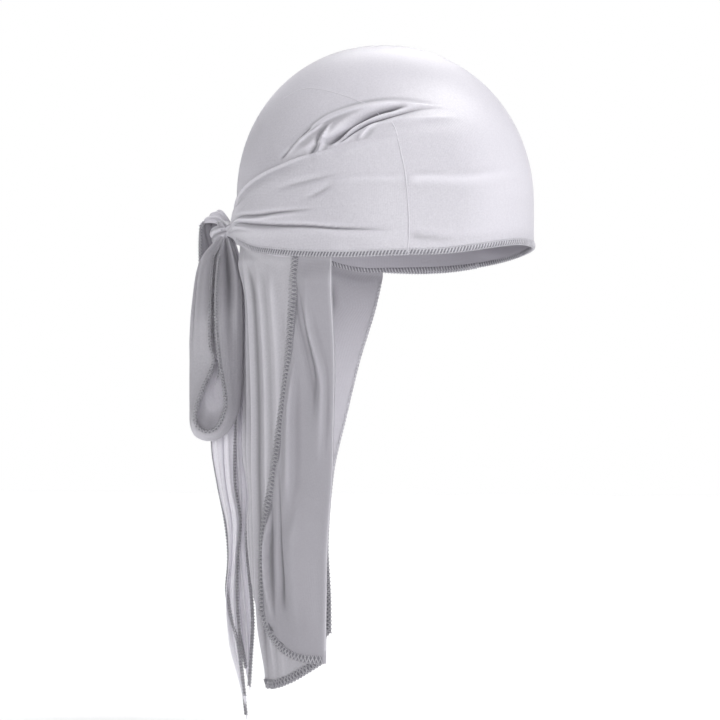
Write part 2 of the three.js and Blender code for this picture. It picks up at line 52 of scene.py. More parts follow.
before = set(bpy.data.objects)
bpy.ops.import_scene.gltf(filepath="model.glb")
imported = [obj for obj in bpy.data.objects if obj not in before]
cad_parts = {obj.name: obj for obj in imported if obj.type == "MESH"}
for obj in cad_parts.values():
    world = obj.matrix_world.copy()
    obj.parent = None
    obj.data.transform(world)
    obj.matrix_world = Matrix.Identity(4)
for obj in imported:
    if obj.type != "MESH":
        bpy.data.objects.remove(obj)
CAD_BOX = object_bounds()
MM = 0.001

# The head shape, as in the frame
HEAD_LENGTH = 196
HEAD_WIDTH = 158
DOME_HEIGHT = 101
CROWN_DEPTH = 142
DOME_FULLNESS = 2.05
EGG_SHAPE = 0.06
CROWN_LEAN = 3
BROW_RISE = 9
BROW_RIGHT = 62
BROW_LEFT = 84
BROW_FLAT = 8
NAPE_RISE = 20
NAPE_ARC = (112, 165)
SEAM_ANGLE = 66  # where the straps are sewn to the crown

# Knot, loops, ends and flap, as in the frame
KNOT_LENGTH = 19
KNOT_STAND_OFF = 4
KNOT_SHARE = 0.836
SOLID_WALL = 1.2  # of the frame's cloth
KNOT_BEHIND = HEAD_LENGTH / 2 + SOLID_WALL + KNOT_STAND_OFF + KNOT_LENGTH / 2
KNOT = np.array([-KNOT_BEHIND, 0, -KNOT_SHARE * CROWN_DEPTH])
LOOP_DROP = 137
LOOP_SPREAD = 15
LOOP_NEAR = 12
LOOP_FAR = 36
END_DROP = 324
SHORT_END_SHARE = 0.943
END_PLANE = 3.6
STRAP_END = 177.5  # the angle at which the straps go into the knot
LOOP_PLEATS = 1.5  # depth of a loop's pleats beside the knot
ARCH_PLEATS = 0.3  # and where the left loop arches over it
LOOP_RIPPLE = 0.22  # what is left of them further on
BOW_TURN = math.radians(20)  # from straight behind the head
FLAP_LENGTH = 278
TURNED_OFFSET = 3.4  # from the flap's middle surface to its turned-back layer
LAYER_GAP = 1.0  # least distance between the two
NEAR_FOOT = 0.932
CORNER_RISE = 0.11
NAPE_DIP = 0.066
DIP_PLACE = 0.3
FAR_RISE = 0.005
FAR_CORNER = 0.05

# Folds of the crown above the straps. A row has the fold's height in millimetres, its breadth
# above and below its line, the shares of its length in which it rises and runs out, how far
# its top is pushed down, how round its section is, and its line, as angles from the front
# with shares of the crown's depth.
CROWN_FOLDS = [
    (7.4, 2.3, 11, 0.3, 0.62, 3.4, 1.5, [(117, 0.585), (104.5, 0.462), (96.5, 0.396),
     (86.5, 0.358), (77, 0.338), (68, 0.33), (55, 0.332), (42, 0.345)]),
    (2.4, 3.6, 3, 0.35, 0.5, 1.6, 1.6, [(112, 0.56), (100, 0.5), (88, 0.425), (74, 0.37),
     (58, 0.345)]),
    (-6.2, 2.5, 1.6, 0.2, 0.2, -0.8, 1.7, [(96, 0.52), (91, 0.468), (86, 0.423), (76.5, 0.374),
     (68, 0.35), (63, 0.341)]),
    (-3, 1.2, 1.3, 0.12, 0.7, 0, 1.6, [(93, 0.515), (87.5, 0.468), (82.5, 0.435), (77.5, 0.412),
     (67.5, 0.38), (57, 0.354), (44, 0.352)]),
    (2.4, 1.6, 1.3, 0.3, 0.45, 0.5, 1.5, [(84.5, 0.5), (82, 0.47), (79.5, 0.44), (75, 0.408)]),
    (3, 0.85, 0.85, 0.3, 0.6, 0, 1.5, [(100.5, 0.565), (97.6, 0.52), (96.6, 0.48), (95.2, 0.446),
     (93.6, 0.418), (91, 0.4)]),
    (-1.8, 1, 1, 0.2, 0.6, 0, 2, [(103, 0.56), (100.2, 0.515), (98.9, 0.475), (97.2, 0.436),
     (95.6, 0.412)]),
    (2, 1.1, 2, 0.3, 0.4, 0, 1.6, [(108, 0.49), (103.5, 0.468), (99, 0.435), (96.5, 0.403)]),
    (-2.2, 1.3, 1.1, 0.3, 0.3, 0, 2, [(118, 0.57), (110.5, 0.5), (104.5, 0.446), (100.5, 0.415)]),
    (0.6, 3.6, 3, 0.1, 0.8, 0, 2, [(92, 0.56), (70, 0.485), (52, 0.462), (38, 0.452)]),
    (0.9, 2.5, 2.5, 0.4, 0.6, 0, 2, [(76, 0.43), (64, 0.405), (50, 0.39), (38, 0.385)]),
    (1, 2.2, 5, 0.3, 0.6, 0, 2, [(100, 0.69), (78, 0.668), (60, 0.665), (41, 0.66), (8, 0.6)]),
    (-0.7, 2.6, 3.4, 0.2, 0.6, 0, 2, [(84, 0.895), (60, 0.925), (46, 0.935), (23, 0.9)]),
]
ROLL_SHADE = 0.1  # painted shade: how much darker the rolled fold is painted for each millimetre that it stands off

# Gathers of a strap, in the same terms. Most of them run out from the knot.
STRAP_FOLDS = [
    (-1.6, 1.5, 1, 0.02, 0.5, 0, 2, [(172, 0.82), (147, 0.795), (128.5, 0.804), (116.5, 0.8),
     (105.5, 0.797), (93, 0.785)]),
    (1.2, 1.2, 2, 0.05, 0.5, 0, 2, [(172, 0.83), (147, 0.806), (128.5, 0.818), (116.5, 0.814),
     (105.5, 0.81), (94, 0.8)]),
    (-1.9, 1.4, 1.1, 0.02, 0.42, 0, 2, [(172, 0.833), (147.5, 0.823), (128.5, 0.846),
     (115.5, 0.86), (102.5, 0.87), (91, 0.884), (76, 0.892), (64, 0.892)]),
    (1.1, 2, 3.4, 0.05, 0.5, 0, 2, [(172, 0.836), (147.5, 0.84), (128.5, 0.868), (115.5, 0.885),
     (102.5, 0.9), (84, 0.918), (66, 0.915)]),
    (-0.9, 1, 1, 0.02, 0.5, 0, 2, [(172, 0.84), (152, 0.848), (141, 0.858), (128, 0.88)]),
    (1.6, 1.3, 2.4, 0.02, 0.6, 0, 2, [(172, 0.825), (156, 0.77), (146, 0.742), (136, 0.72)]),
    (-1.2, 1.3, 1, 0.02, 0.6, 0, 2, [(172, 0.822), (158, 0.762), (148, 0.73), (138, 0.71)]),
    (-0.9, 2.4, 2.2, 0.4, 0.5, 0, 2, [(122, 0.7), (110, 0.682), (96, 0.655), (84, 0.625)]),
    (-0.8, 2, 2, 0.4, 0.5, 0, 2, [(108, 0.755), (101, 0.735), (95, 0.7), (91, 0.66)]),
    (0.9, 2.2, 5, 0.4, 0.2, 0, 2, [(100, 0.69), (84, 0.67), (72, 0.668), (60, 0.665)]),
]

# Outline of a strap by the angle from the front. Top and hem are shares of the crown's depth,
# and off is how far it has left the head for the knot's middle.
STRAP_LINE = {
    "angle": (66, 84, 96, 108, 122, 132, 142, 152, 160, 168, 174, 178),
    "top": (0.478, 0.5, 0.535, 0.565, 0.605, 0.637, 0.674, 0.72, 0.762, 0.8, 0.815, 0.822),
    "hem": (1.009, 1.009, 1.006, 0.997, 0.978, 0.96, 0.931, 0.91, 0.888, 0.869, 0.856, 0.849),
    "off": (0, 0, 0, 0, 0, 0, 0, 0, 0.03, 0.24, 0.6, 0.92),
}

# Three lines along a loop, from the knot and back to it: its outer edge, the middle of its
# breadth and its inner edge, each with how far it stands out and how far down it hangs.
RIGHT_LOOP = {
    "way": (0, 0.05, 0.1, 0.2, 0.3, 0.35, 0.39, 0.43, 0.46, 0.48, 0.5, 0.53, 0.56, 0.6, 0.65,
         0.72, 0.84, 0.93, 1),
    "edge": (0, -0.28, -0.5, -0.56, -0.52, -0.36, -0.52, -0.86, -1.16, -1.12, -0.72, -0.26, 0.04,
         0, -0.18, -0.34, -0.38, -0.26, 0),
    "edge_drop": (0, 0.07, 0.13, 0.34, 0.55, 0.63, 0.69, 0.77, 0.87, 0.935, 0.965, 0.94, 0.86,
         0.77, 0.66, 0.5, 0.25, 0.1, 0),
    "swell": (0, -0.6, -1.06, -1.3, -1.45, -1.47, -1.47, -1.44, -1.38, -1.15, -0.62, 0.02, 0.48,
         0.72, 0.8, 0.82, 0.72, 0.4, 0),
    "swell_drop": (0, 0.07, 0.15, 0.34, 0.53, 0.64, 0.74, 0.85, 0.93, 0.975, 0.995, 0.97, 0.9,
         0.8, 0.67, 0.48, 0.25, 0.1, 0),
    "back": (0, -0.05, 0, 0.05, 0.05, 0, -0.1, -0.2, -0.3, -0.4, -0.5, -0.6, -0.7, -0.65, -0.5,
         -0.45, -0.4, -0.2, 0),
    "back_drop": (0, 0.07, 0.15, 0.34, 0.5, 0.58, 0.63, 0.68, 0.71, 0.73, 0.75, 0.75, 0.74, 0.7,
         0.62, 0.46, 0.25, 0.1, 0),
}
LEFT_LOOP = {
    "way": (0, 0.045, 0.085, 0.12, 0.2, 0.33, 0.43, 0.5, 0.57, 0.66, 0.8, 0.92, 1),
    "edge": (0.3, -0.25, -0.5, -0.25, -0.05, -0.1, -0.5, -0.4, 0.1, 0, -0.1, -0.06, 0),
    "edge_drop": (-0.04, -0.115, -0.1, -0.045, 0.12, 0.52, 0.79, 0.93, 0.82, 0.62, 0.34, 0.12, 0),
    "swell": (0.15, -0.36, -0.85, -0.8, -0.5, -0.55, -0.85, -0.4, 0.5, 0.6, 0.6, 0.4, 0),
    "swell_drop": (-0.03, -0.095, -0.085, -0.02, 0.13, 0.5, 0.84, 0.97, 0.84, 0.62, 0.34, 0.12,
         0.02),
    "back": (0, -0.45, -1.05, -1.2, -1.24, -1.1, -0.9, -0.4, 0.3, 0.3, 0.2, 0.1, 0),
    "back_drop": (-0.02, -0.05, -0.05, -0.02, 0.12, 0.5, 0.8, 0.95, 0.84, 0.62, 0.34, 0.12, 0.03),
}

# The strap ends by how far down they are: where their middle hangs, half their breadth, how
# sharply they are folded lengthways and how far their rear edge curls in.
RIGHT_END = {
    "drop": (0, 0.06, 0.2, 0.436, 0.52, 0.593, 0.671, 0.75, 0.845, 0.934, 1),
    "out": (0.1, 0.02, -0.05, -0.1, 0.05, 0.31, 0.3, 0.18, 0.305, 0.65, 0.91),
    "half": (0.16, 0.4, 0.6, 0.52, 0.4, 0.36, 0.25, 0.36, 0.395, 0.2, 0.06),
    "fold": (0.1, 0.4, 0.6, 0.7, 0.75, 0.75, 0.75, 0.7, 0.5, 0.3, 0.15),
    "curl": (0, 0, 0, 0, 0, 0, 0.3, 0.9, 1.75, 1.8, 1.6),
}
LEFT_END = {
    "drop": (0, 0.06, 0.2, 0.45, 0.575, 0.62, 0.686, 0.796, 0.853, 0.932, 1),
    "out": (0.1, 0.3, 0.5, 0.5, 0.68, 0.66, 0.62, 0.78, 0.85, 0.92, 1),
    "half": (0.16, 0.34, 0.44, 0.45, 0.5, 0.4, 0.38, 0.41, 0.4, 0.25, 0.08),
    "fold": (0.1, 0.4, 0.6, 0.7, 0.75, 0.75, 0.75, 0.7, 0.6, 0.4, 0.15),
    "curl": (0, 0, 0, 0, 0, 0, 0, 0, 0, 0, 0),
}
# Lengthwise creases of an end: their place across it, how far they sway, height and breadth
END_CREASES = (
    (0.12, 0.22, -1.7, 0.12),
    (0.4, 0.1, 1.0, 0.16),
    (-0.5, 0.15, 1.1, 0.14),
    (-0.75, 0.05, -0.8, 0.1),
)

# The flap's level sections by how far down they are: an oval's middle, half length and half
# breadth as shares of the head's, and the angles of its near fold, its far edge and the free
# edge of its turned-back layer.
FLAP_PLAN = {
    "drop": (0, 0.05, 0.1, 0.23, 0.375, 0.49, 0.66, 0.8, 1),
    "middle": (0, -0.01, -0.02, -0.12, -0.245, -0.325, -0.39, -0.41, -0.42),
    "reach": (0.975, 0.915, 0.89, 0.8, 0.69, 0.63, 0.55, 0.515, 0.45),
    "width": (1, 0.975, 0.94, 0.79, 0.635, 0.535, 0.43, 0.37, 0.32),
    "near": (94.5, 95, 95, 90.5, 85, 81, 80, 80, 80),
    "far": (253, 251, 249.5, 249, 251, 252, 255, 260, 262),
    "turned": (111, 112.5, 113.5, 114, 116, 119, 130, 134, 137),
}
# How far the flap's back is drawn in
BACK_HOLLOW = {
    "drop": (0, 0.42, 0.545, 0.6, 0.667, 0.787, 0.82, 0.897, 0.947, 1),
    "depth": (0, 0, 5.2, 2.8, 2.4, 5.2, 7.4, 8.6, 11.5, 15),
}
# Pleats that hang down the flap: their places from 0 at the near fold to 1 at the far edge,
# how high they stand and how broad they are, as shares of the flap's breadth.
FLAP_FOLDS = {
    "place": (0.19, 0.25, 0.325, 0.4, 0.478, 0.575, 0.675, 0.77, 0.865),
    "height": (0.7, 0.7, 1.3, 0.8, 1.2, 0.9, 1.1, 0.9, 0.9),
    "width": (0.03, 0.02, 0.014, 0.03, 0.018, 0.034, 0.024, 0.034, 0.03),
}
FLAP_FOLD = 3.4  # height of a pleat of 1
FIRST_PLEAT = (0.12, 0.18)  # the flap is smooth up to here
TURNED_SHARE = 0.24  # of the flap's breadth in its grid: the turned-back layer, then the fold
FOLD_SHARE = 0.04
FOLD_END = TURNED_SHARE + FOLD_SHARE

# Soft folds of the flap's turned-back layer: height in millimetres, breadth towards the free
# edge and towards the fold, shares of the flap's length, and the places there from 0 at the
# free edge to 1 at the fold.
TURNED_FOLDS = [
    (-5, 0.1, 0.16, (0, 0.1, 0.26, 0.4), (0.1, 0.2, 0.62, 0.75)),
    (4.4, 0.14, 0.1, (0.02, 0.15, 0.3, 0.52), (0.4, 0.55, 0.85, 0.8)),
    (5.2, 0.12, 0.08, (0.2, 0.35, 0.5, 0.62), (0.22, 0.3, 0.4, 0.44)),
    (-5.6, 0.1, 0.06, (0.46, 0.56, 0.66, 0.84), (0.12, 0.22, 0.34, 0.5)),
    (4.4, 0.06, 0.035, (0.55, 0.68, 0.78, 0.86), (0.14, 0.17, 0.23, 0.3)),
    (3.8, 0.14, 0.2, (0.5, 0.65, 0.78, 0.92), (0.62, 0.6, 0.66, 0.75)),
]

# How much of its full breadth the flap's far edge and the strap ends' edges are sewn
FAR_SEWING = {"at": (0, 0.74, 0.83, 1), "share": (0.3, 0.3, 1, 1)}
END_SEWING = (("rear", -1, 0.47), ("front", 1, 0.3))  # an end's edges, full below these shares

# The side seam's line over the crown, in the terms of the folds' lines
SIDE_SEAM = [
    (66, 0.995), (65.5, 0.87), (66, 0.77), (67, 0.62), (68, 0.55), (69, 0.48), (69.5, 0.45),
    (71, 0.414), (74, 0.385), (78, 0.352), (84.5, 0.312), (95, 0.27), (106, 0.242),
    (114, 0.231), (122, 0.24), (129, 0.27),
]
LINE_SCALE = 200  # weighs a share of the crown's depth against degrees where lines are spaced
SEAM_SUNK = (0.385, 0.02, 2.4)  # the seam dives under the folds: where, how broadly, how deep

UPWARDS = (0.0, 0.0, 1.0)
HEAD_MIDDLE = (0, 0, -60)  # what the outside of the straps' hems is told by

# Cloth and stitches, in millimetres
RIM_OUTSIDE = 0.6  # from the head shape to the middle of the crown's wall
TOP_ROLL = 1.5  # breadth of the rolled top edge of a strap
STRAP_SLACK = 1.1  # how far the middle of a strap stands off
OVER_FLAP = 1.3  # and its hem, over the flap
SEAM_BEAD = (0.7, 0.45)
CREASE_BEAD = (0.8, 0.5)
STITCH_SLANT = 1.6
BRAID_LIFT = 0.3  # of the second row of crossed threads over the first
BAND_OVER = 0.15  # how far the band under the stitches stands past its edge
BAND_WALL = 0.5
NEEDLE_GAP = 0.5  # from the overlock to the line of stitches above it
EDGE_STEPS = 260  # places at which a sewn edge is measured
LOOP_BRAID = 2.2
END_BRAID = 1.9
INNER_BAND = 3.4
INNER_STITCH = ((0.1, -0.6, 0.3), (1.7, 0, 0.62), (3.3, 0.6, 0.3))  # up, along and off the rim
THREAD_TIP = 0.55  # how thin a thread's ends are
SAME_PLACE = 1e-6  # metres, below which two corners are one
CLOTH_SHARP = math.radians(60)  # edges are shown sharp from here on
THREAD_SHARP = math.radians(70)

# Shape of the knot: its core's half sizes, and its three rings with their grids' columns and
# rows, middle, axis, radii, half breadth, thickness, pleats and how much the pleats wind
KNOT_CORE = (7.6, 9.4, 8.2)
KNOT_RINGS = (
    ("knot_wrap", 150, 60, (-0.8, 0, -0.6), (0.55, 0, -0.83), (6.6, 8.2), 4.6, 2.3, 2.4, 1),
    ("knot_cross", 140, 50, (0.6, 0, 1.2), (-0.75, 0.25, -0.6), (6.9, 7.4), 2.6, 1.9, 1.6, 1),
    ("knot_neck", 120, 40, (6.4, 0, 1.0), (1, 0, 0.3), (3.8, 7.6), 1.5, 1.4, 1.0, 2),
)

# The knit, in metres, and the scales of its cloudy and slubby tones
RIB_PITCH = 0.0011
RUNG_PITCH = 0.0009
CLOUD_SCALE = 14.0
SLUB_SCALE = 900.0
# How much the painted shade of hollows and the painted highlight of crests change the satin's tone,
# and to what share of it
PAINTED_SHADE_MOST = 0.8
PAINTED_SHADE_TONE = 0.4
PAINTED_HIGHLIGHT_MOST = 0.45
PAINTED_HIGHLIGHT_TONE = 1.4
PAINTED_HIGHLIGHT_LIMIT = 0.92

# Dyes of the satin: its colour and share of it, the colour and share of its darker tone, which is
# its random mottle and the base of the painted shade in its hollows, what is added to the
# roughness, sheen, weave, and 1 for the cloth's face or -1 for its back
SATINS = {
    "satin": ("face", 1, "hollow", 1, 0, 0.35, 0.5, 1),
    "satin_reverse": ("reverse", 1, "hollow", 1, 0.12, 0.2, 0.6, -1),
    # A darker copy of the satin for the right loop: painted shade where the bow hangs out of the
    # light
    "satin_bow": ("face", 0.74, "hollow", 0.72, 0, 0.25, 0.6, 1),
    # A lighter copy for the right loop's inside: painted light where it lies in shade
    "satin_pale": ("face", 1.42, "face", 1.15, 0.1, 0.3, 0.6, -1),
    # A darker copy of the satin's back for the left loop's inside: painted shade
    "satin_dim": ("reverse", 0.66, "hollow", 0.66, 0.1, 0.2, 0.6, -1),
    # Lighter copies of the satin for the strap ends, face and back: painted light where they hang
    # in shade
    "satin_tail": ("face", 1.42, "face", 1.2, 0.05, 0.3, 0.6, 1),
    "satin_tail_back": ("face", 1.42, "face", 1.2, 0.05, 0.3, 0.6, -1),
    # A darker copy of the face satin for the nape flap: painted shade
    "satin_flap": ("face", 0.78, "hollow", 0.78, 0, 0.3, 0.5, 1),
    # A darker copy of the satin's back for the flap's inside and turned-back layer: painted shade
    "satin_lining": ("reverse", 0.79, "hollow", 0.7, 0.12, 0.2, 0.6, -1),
}
THREADS = {
    "thread": ("thread", 1, "thread_shade", 1),
    "thread_grey": ("thread", 0.75, "thread_shade", 0.8),
    # A darker thread for the bands under the stitches, which also paints the shade between them
    "thread_dim": ("thread_shade", 0.75, "thread_shade", 0.5),
    "satin_crease": ("face", 1, "face", 0.85),
    "satin_seam": ("face", 1.12, "face", 1),
}

# Lamps in metres: place, breadth of a sun in degrees or aim and sides of a panel, strength
LIGHT_AIM = (-0.02, 0, -0.18)
SUNS = (
    ("main_light", (1.1, -0.2, 1.85), 18, 2.72),
    ("front_light", (1.9, -0.6, 0.0), 18, 0.35),
    ("rear_light", (-1.95, -0.75, -0.16), 18, 0.26),
    ("near_light", (0.6, -1.8, -0.1), 24, 1.3),
    ("far_light", (-0.4, 1.6, 1.55), 30, 0.9),
)
PANELS = (
    ("low_light", (-0.95, -0.4, -0.4), (-0.1, -0.03, -0.12), (0.7, 0.3), 1.0),
    ("inner_light", (-0.03, -0.005, -0.225), (-0.04, 0.055, -0.225), (0.04, 0.16), 0.07),
)
CAMERA_TURN = math.radians(20)
CAMERA_RISE = math.radians(-2)
CAMERA_AWAY = 1.6
CAMERA_BACK = -0.0163  # of the place it looks at, along the floor
CAMERA_LEVEL = -0.205
CAMERA_LENS = 122.5
CAMERA_SENSOR = 36
FLOOR_BREADTH = 16

# How the dyes find the hollows that get painted shade and the crests that get a painted highlight:
# how far round a place they look, in passes over the grid, and the depths in millimetres that
# count as nothing and as a full hollow.
PAINTED_CREASE_PASSES = 9
PAINTED_CREASE_SLACK = 0.07
PAINTED_CREASE_DEPTH = 0.5
PAINTED_CREASE_BORDER = (1, 8)  # steps from a border in which it grows to its full strength


def smooth(x, low, high):
    t = np.clip((np.asarray(x, float) - low) / (high - low), 0, 1)
    return t * t * (3 - 2 * t)


def mix(a, b, t):
    return a + (b - a) * t


def curve(keys, values, at):
    """Values at some places on a smooth curve through a few keys and their values."""
    keys, values = np.array(keys, float), np.array(values, float)
    last = len(keys) - 1
    before = np.maximum(np.arange(last + 1) - 1, 0)
    after = np.minimum(np.arange(last + 1) + 1, last)
    slopes = (values[after] - values[before]) / (keys[after] - keys[before])
    at = np.clip(np.asarray(at, float), keys[0], keys[last])
    i = np.clip(np.searchsorted(keys, at, side="right") - 1, 0, last - 1)
    span = keys[i + 1] - keys[i]
    t = (at - keys[i]) / span
    return (
        values[i] * (1 + 2 * t) * (1 - t) ** 2
        + slopes[i] * span * t * (1 - t) ** 2
        + values[i + 1] * t * t * (3 - 2 * t)
        - slopes[i + 1] * span * t * t * (1 - t)
    )


def follow(table, key, column, at):
    return curve(table[key], table[column], at)


def stack(x, y, z):
    return np.stack(np.broadcast_arrays(x, y, z), axis=-1)


def unit(v):
    return v / np.maximum(np.linalg.norm(v, axis=-1, keepdims=True), 1e-12)


def head_point(angle, z, outside):
    """Place on the head shape, a distance outside the hollow."""
    z = np.asarray(z, float)
    fall = np.clip((z + DOME_HEIGHT) / (DOME_HEIGHT + outside), 0, 1)
    around = (1 - fall**DOME_FULLNESS) ** (1 / DOME_FULLNESS)
    turn = np.radians(angle)
    along = np.cos(turn)
    return stack(
        (HEAD_LENGTH / 2 + outside) * around * along - CROWN_LEAN * fall,
        -(HEAD_WIDTH / 2 + outside) * around * np.sin(turn) * (1 - EGG_SHAPE * along),
        z,
    )


def head_normal(angle, z):
    turn = np.radians(angle)
    fall = np.clip((np.asarray(z, float) + DOME_HEIGHT) / DOME_HEIGHT, 0, 1)
    level = np.sqrt(1 - fall * fall)
    along = level * np.cos(turn) / (HEAD_LENGTH / 2)
    beside = -level * np.sin(turn) / (HEAD_WIDTH / 2)
    return unit(stack(along, beside, fall / DOME_HEIGHT))


def rim_height(angle):
    around = np.abs(np.asarray(angle, float))
    around = np.minimum(around, 360 - around)
    brow_end = np.where(np.asarray(angle) < 0, BROW_LEFT, BROW_RIGHT)
    brow = 1 - smooth(around, BROW_FLAT, brow_end)
    return -CROWN_DEPTH + BROW_RISE * brow + NAPE_RISE * smooth(around, *NAPE_ARC)


def travelled(points):
    """Distance from the first of some points to each, along them."""
    return np.concatenate([[0], np.cumsum(np.linalg.norm(np.diff(points, axis=0), axis=1))])


def line_on_head(line, count):
    """Angles and heights evenly spaced along a line of angles and shares of the depth."""
    points = np.array(line, float) * (1, LINE_SCALE)
    steps = travelled(points)
    at = np.linspace(0, steps[-1], count)
    turn, down = (curve(steps, column, at) for column in points.T)
    return turn, -down / LINE_SCALE * CROWN_DEPTH


def fold_shape(folds, angle, z):
    """Rise off the head and push down it from a list of folds, alike on both sides."""
    here = head_point(np.abs(angle), z, 0)
    rise = np.zeros(len(here))
    push = np.zeros(len(here))
    for height, above, below, start, end, lean, roundness, line in folds:
        turn, level = line_on_head(line, 40)
        path = head_point(turn, level, 0)
        faces = head_normal(turn, level)
        away = np.full(len(here), np.inf)
        under = np.zeros(len(here))
        t = np.zeros(len(here))
        for k in range(len(path) - 1):
            run = path[k + 1] - path[k]
            down = unit(np.cross(run, faces[k]))
            down = -down if down[2] > 0 else down
            s = np.clip((here - path[k]) @ run / (run @ run), 0, 1)
            apart = here - path[k] - s[:, None] * run
            distance = np.linalg.norm(apart, axis=1)
            closer = distance < away
            away[closer] = distance[closer]
            under[closer] = (apart @ down)[closer]
            t[closer] = (k + s[closer]) / (len(path) - 1)
        width = np.where(under < 0, above, below)
        taper = smooth(t, -0.01, start) * (1 - smooth(t, 1 - end, 1.01))
        swell = taper * np.exp(-((away / width) ** roundness))
        rise += height * swell
        push += lean * swell * swell
    return rise, push


def denser(u, low, high, centres, half, extra):
    """Even places from low to high, drawn together round some centres."""
    at = np.linspace(low, high, 2000)
    weight = np.ones(2000)
    for centre in centres:
        weight += extra * np.exp(-(((at - centre) / half) ** 4))
    total = np.concatenate([[0], np.cumsum((weight[1:] + weight[:-1]) / 2)])
    return np.interp(u, total / total[-1], at)


def deselect():
    if bpy.context.object and bpy.context.object.mode != "OBJECT":
        bpy.ops.object.mode_set(mode="OBJECT")
    for o in list(bpy.context.selected_objects):
        o.select_set(False)


def choose(obj):
    deselect()
    obj.select_set(True)
    bpy.context.view_layer.objects.active = obj


def new_grid(name, columns, rows, uvs=True):
    """A grid primitive, with its places across and along it from 0 to 1."""
    deselect()
    steps = {"x_subdivisions": columns, "y_subdivisions": rows}
    bpy.ops.mesh.primitive_grid_add(**steps, size=1, calc_uvs=uvs)
    obj = bpy.context.object
    obj.name = obj.data.name = name
    flat = np.empty(3 * len(obj.data.vertices))
    obj.data.vertices.foreach_get("co", flat)
    return obj, flat[0::3] + 0.5, flat[1::3] + 0.5


def laid_grid(name, columns, rows, place, shade=None):
    """A grid laid on a surface, with its weave and the mask of painted shade in the hollows and
    painted highlight on the crests of its face.
    """
    obj, u, v = new_grid(name, columns, rows)
    points = place(u, v)
    obj.data.vertices.foreach_set("co", (points * MM).ravel())
    order = np.lexsort((np.round(u * columns), np.round(v * rows)))
    grid = points[order].reshape(rows + 1, columns + 1, 3)
    lay_weave(obj.data, order, grid * MM)
    lay_painted_shade_and_highlight(obj.data, order, grid, shade(u, v) if shade else 0)
    return obj


def merge_doubles(outwards=False):
    bpy.ops.object.mode_set(mode="EDIT")
    bpy.ops.mesh.select_all(action="SELECT")
    bpy.ops.mesh.remove_doubles(threshold=SAME_PLACE)
    if outwards:
        bpy.ops.mesh.normals_make_consistent(inside=False)
    bpy.ops.object.mode_set(mode="OBJECT")


def cloth(name, columns, rows, place, thickness, dyes, merge=False, shade=None):
    """A sheet of cloth: a laid grid that is given a wall, with a dye for its face and back."""
    obj = laid_grid(name, columns, rows, place, shade)
    if merge:
        merge_doubles()
    for dye_name in dyes:
        obj.data.materials.append(dye(dye_name))
    bpy.ops.object.modifier_add(type="SOLIDIFY")
    wall = obj.modifiers[-1]
    wall.thickness = thickness * MM
    wall.offset = 0
    wall.use_even_offset = False
    wall.material_offset = 1
    bpy.ops.object.modifier_apply(modifier=wall.name)
    bpy.ops.object.shade_smooth_by_angle(angle=CLOTH_SHARP)
    finish(obj)
    return obj


def lay_weave(mesh, order, grid):
    """Lays the UV map in metres of cloth, measured along the sheet's rows and columns."""
    steps = [np.linalg.norm(np.diff(grid, axis=axis), axis=2) for axis in (0, 1)]
    across = np.pad(np.cumsum(steps[1], axis=1), ((0, 0), (1, 0)))
    along = np.pad(np.cumsum(steps[0], axis=0), ((1, 0), (0, 0)))
    middle = (grid.shape[1] - 1) // 2
    across -= across[:, middle : middle + 1]
    laid = np.empty((len(order), 2))
    laid[order] = np.stack([across.ravel(), along.ravel()], axis=1)
    corner = np.empty(len(mesh.loops), int)
    mesh.loops.foreach_get("vertex_index", corner)
    mesh.uv_layers[0].name = "cloth"
    mesh.uv_layers["cloth"].uv.foreach_set("vector", laid[corner].ravel())


def lay_painted_shade_and_highlight(mesh, order, grid, shade):
    """Keeps how far each place lies in a hollow of the face, up to 1, or on a crest, to -1, with
    the extra painted shade added, as the mask for painted shade and painted highlight in the dyes.
    """
    around = grid.copy()
    for _ in range(PAINTED_CREASE_PASSES):
        for axis in (0, 1):
            edges = around.take([0], axis), around, around.take([-1], axis)
            padded = np.concatenate(edges, axis=axis)
            before = padded.take(range(0, around.shape[axis]), axis)
            after = padded.take(range(2, around.shape[axis] + 2), axis)
            around = (before + 2 * around + after) / 4
    faces = unit(np.cross(np.gradient(grid, axis=1), np.gradient(grid, axis=0)))
    depth = np.einsum("ijk,ijk->ij", around - grid, faces)
    depth = np.sign(depth) * np.clip((np.abs(depth) - PAINTED_CREASE_SLACK) / PAINTED_CREASE_DEPTH, 0, 1)
    for axis in (0, 1):
        steps = np.arange(grid.shape[axis])
        from_border = np.minimum(steps, steps[::-1])
        depth = depth * np.expand_dims(smooth(from_border, *PAINTED_CREASE_BORDER), 1 - axis)
    laid = np.empty(len(order))
    laid[order] = depth.ravel()
    # The mask for painted shade in the hollows and a painted highlight on the crests
    kept = mesh.attributes.new("relief", "FLOAT", "POINT")
    kept.data.foreach_set("value", laid + shade)


def finish(obj):
    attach(obj, "root")
    deselect()


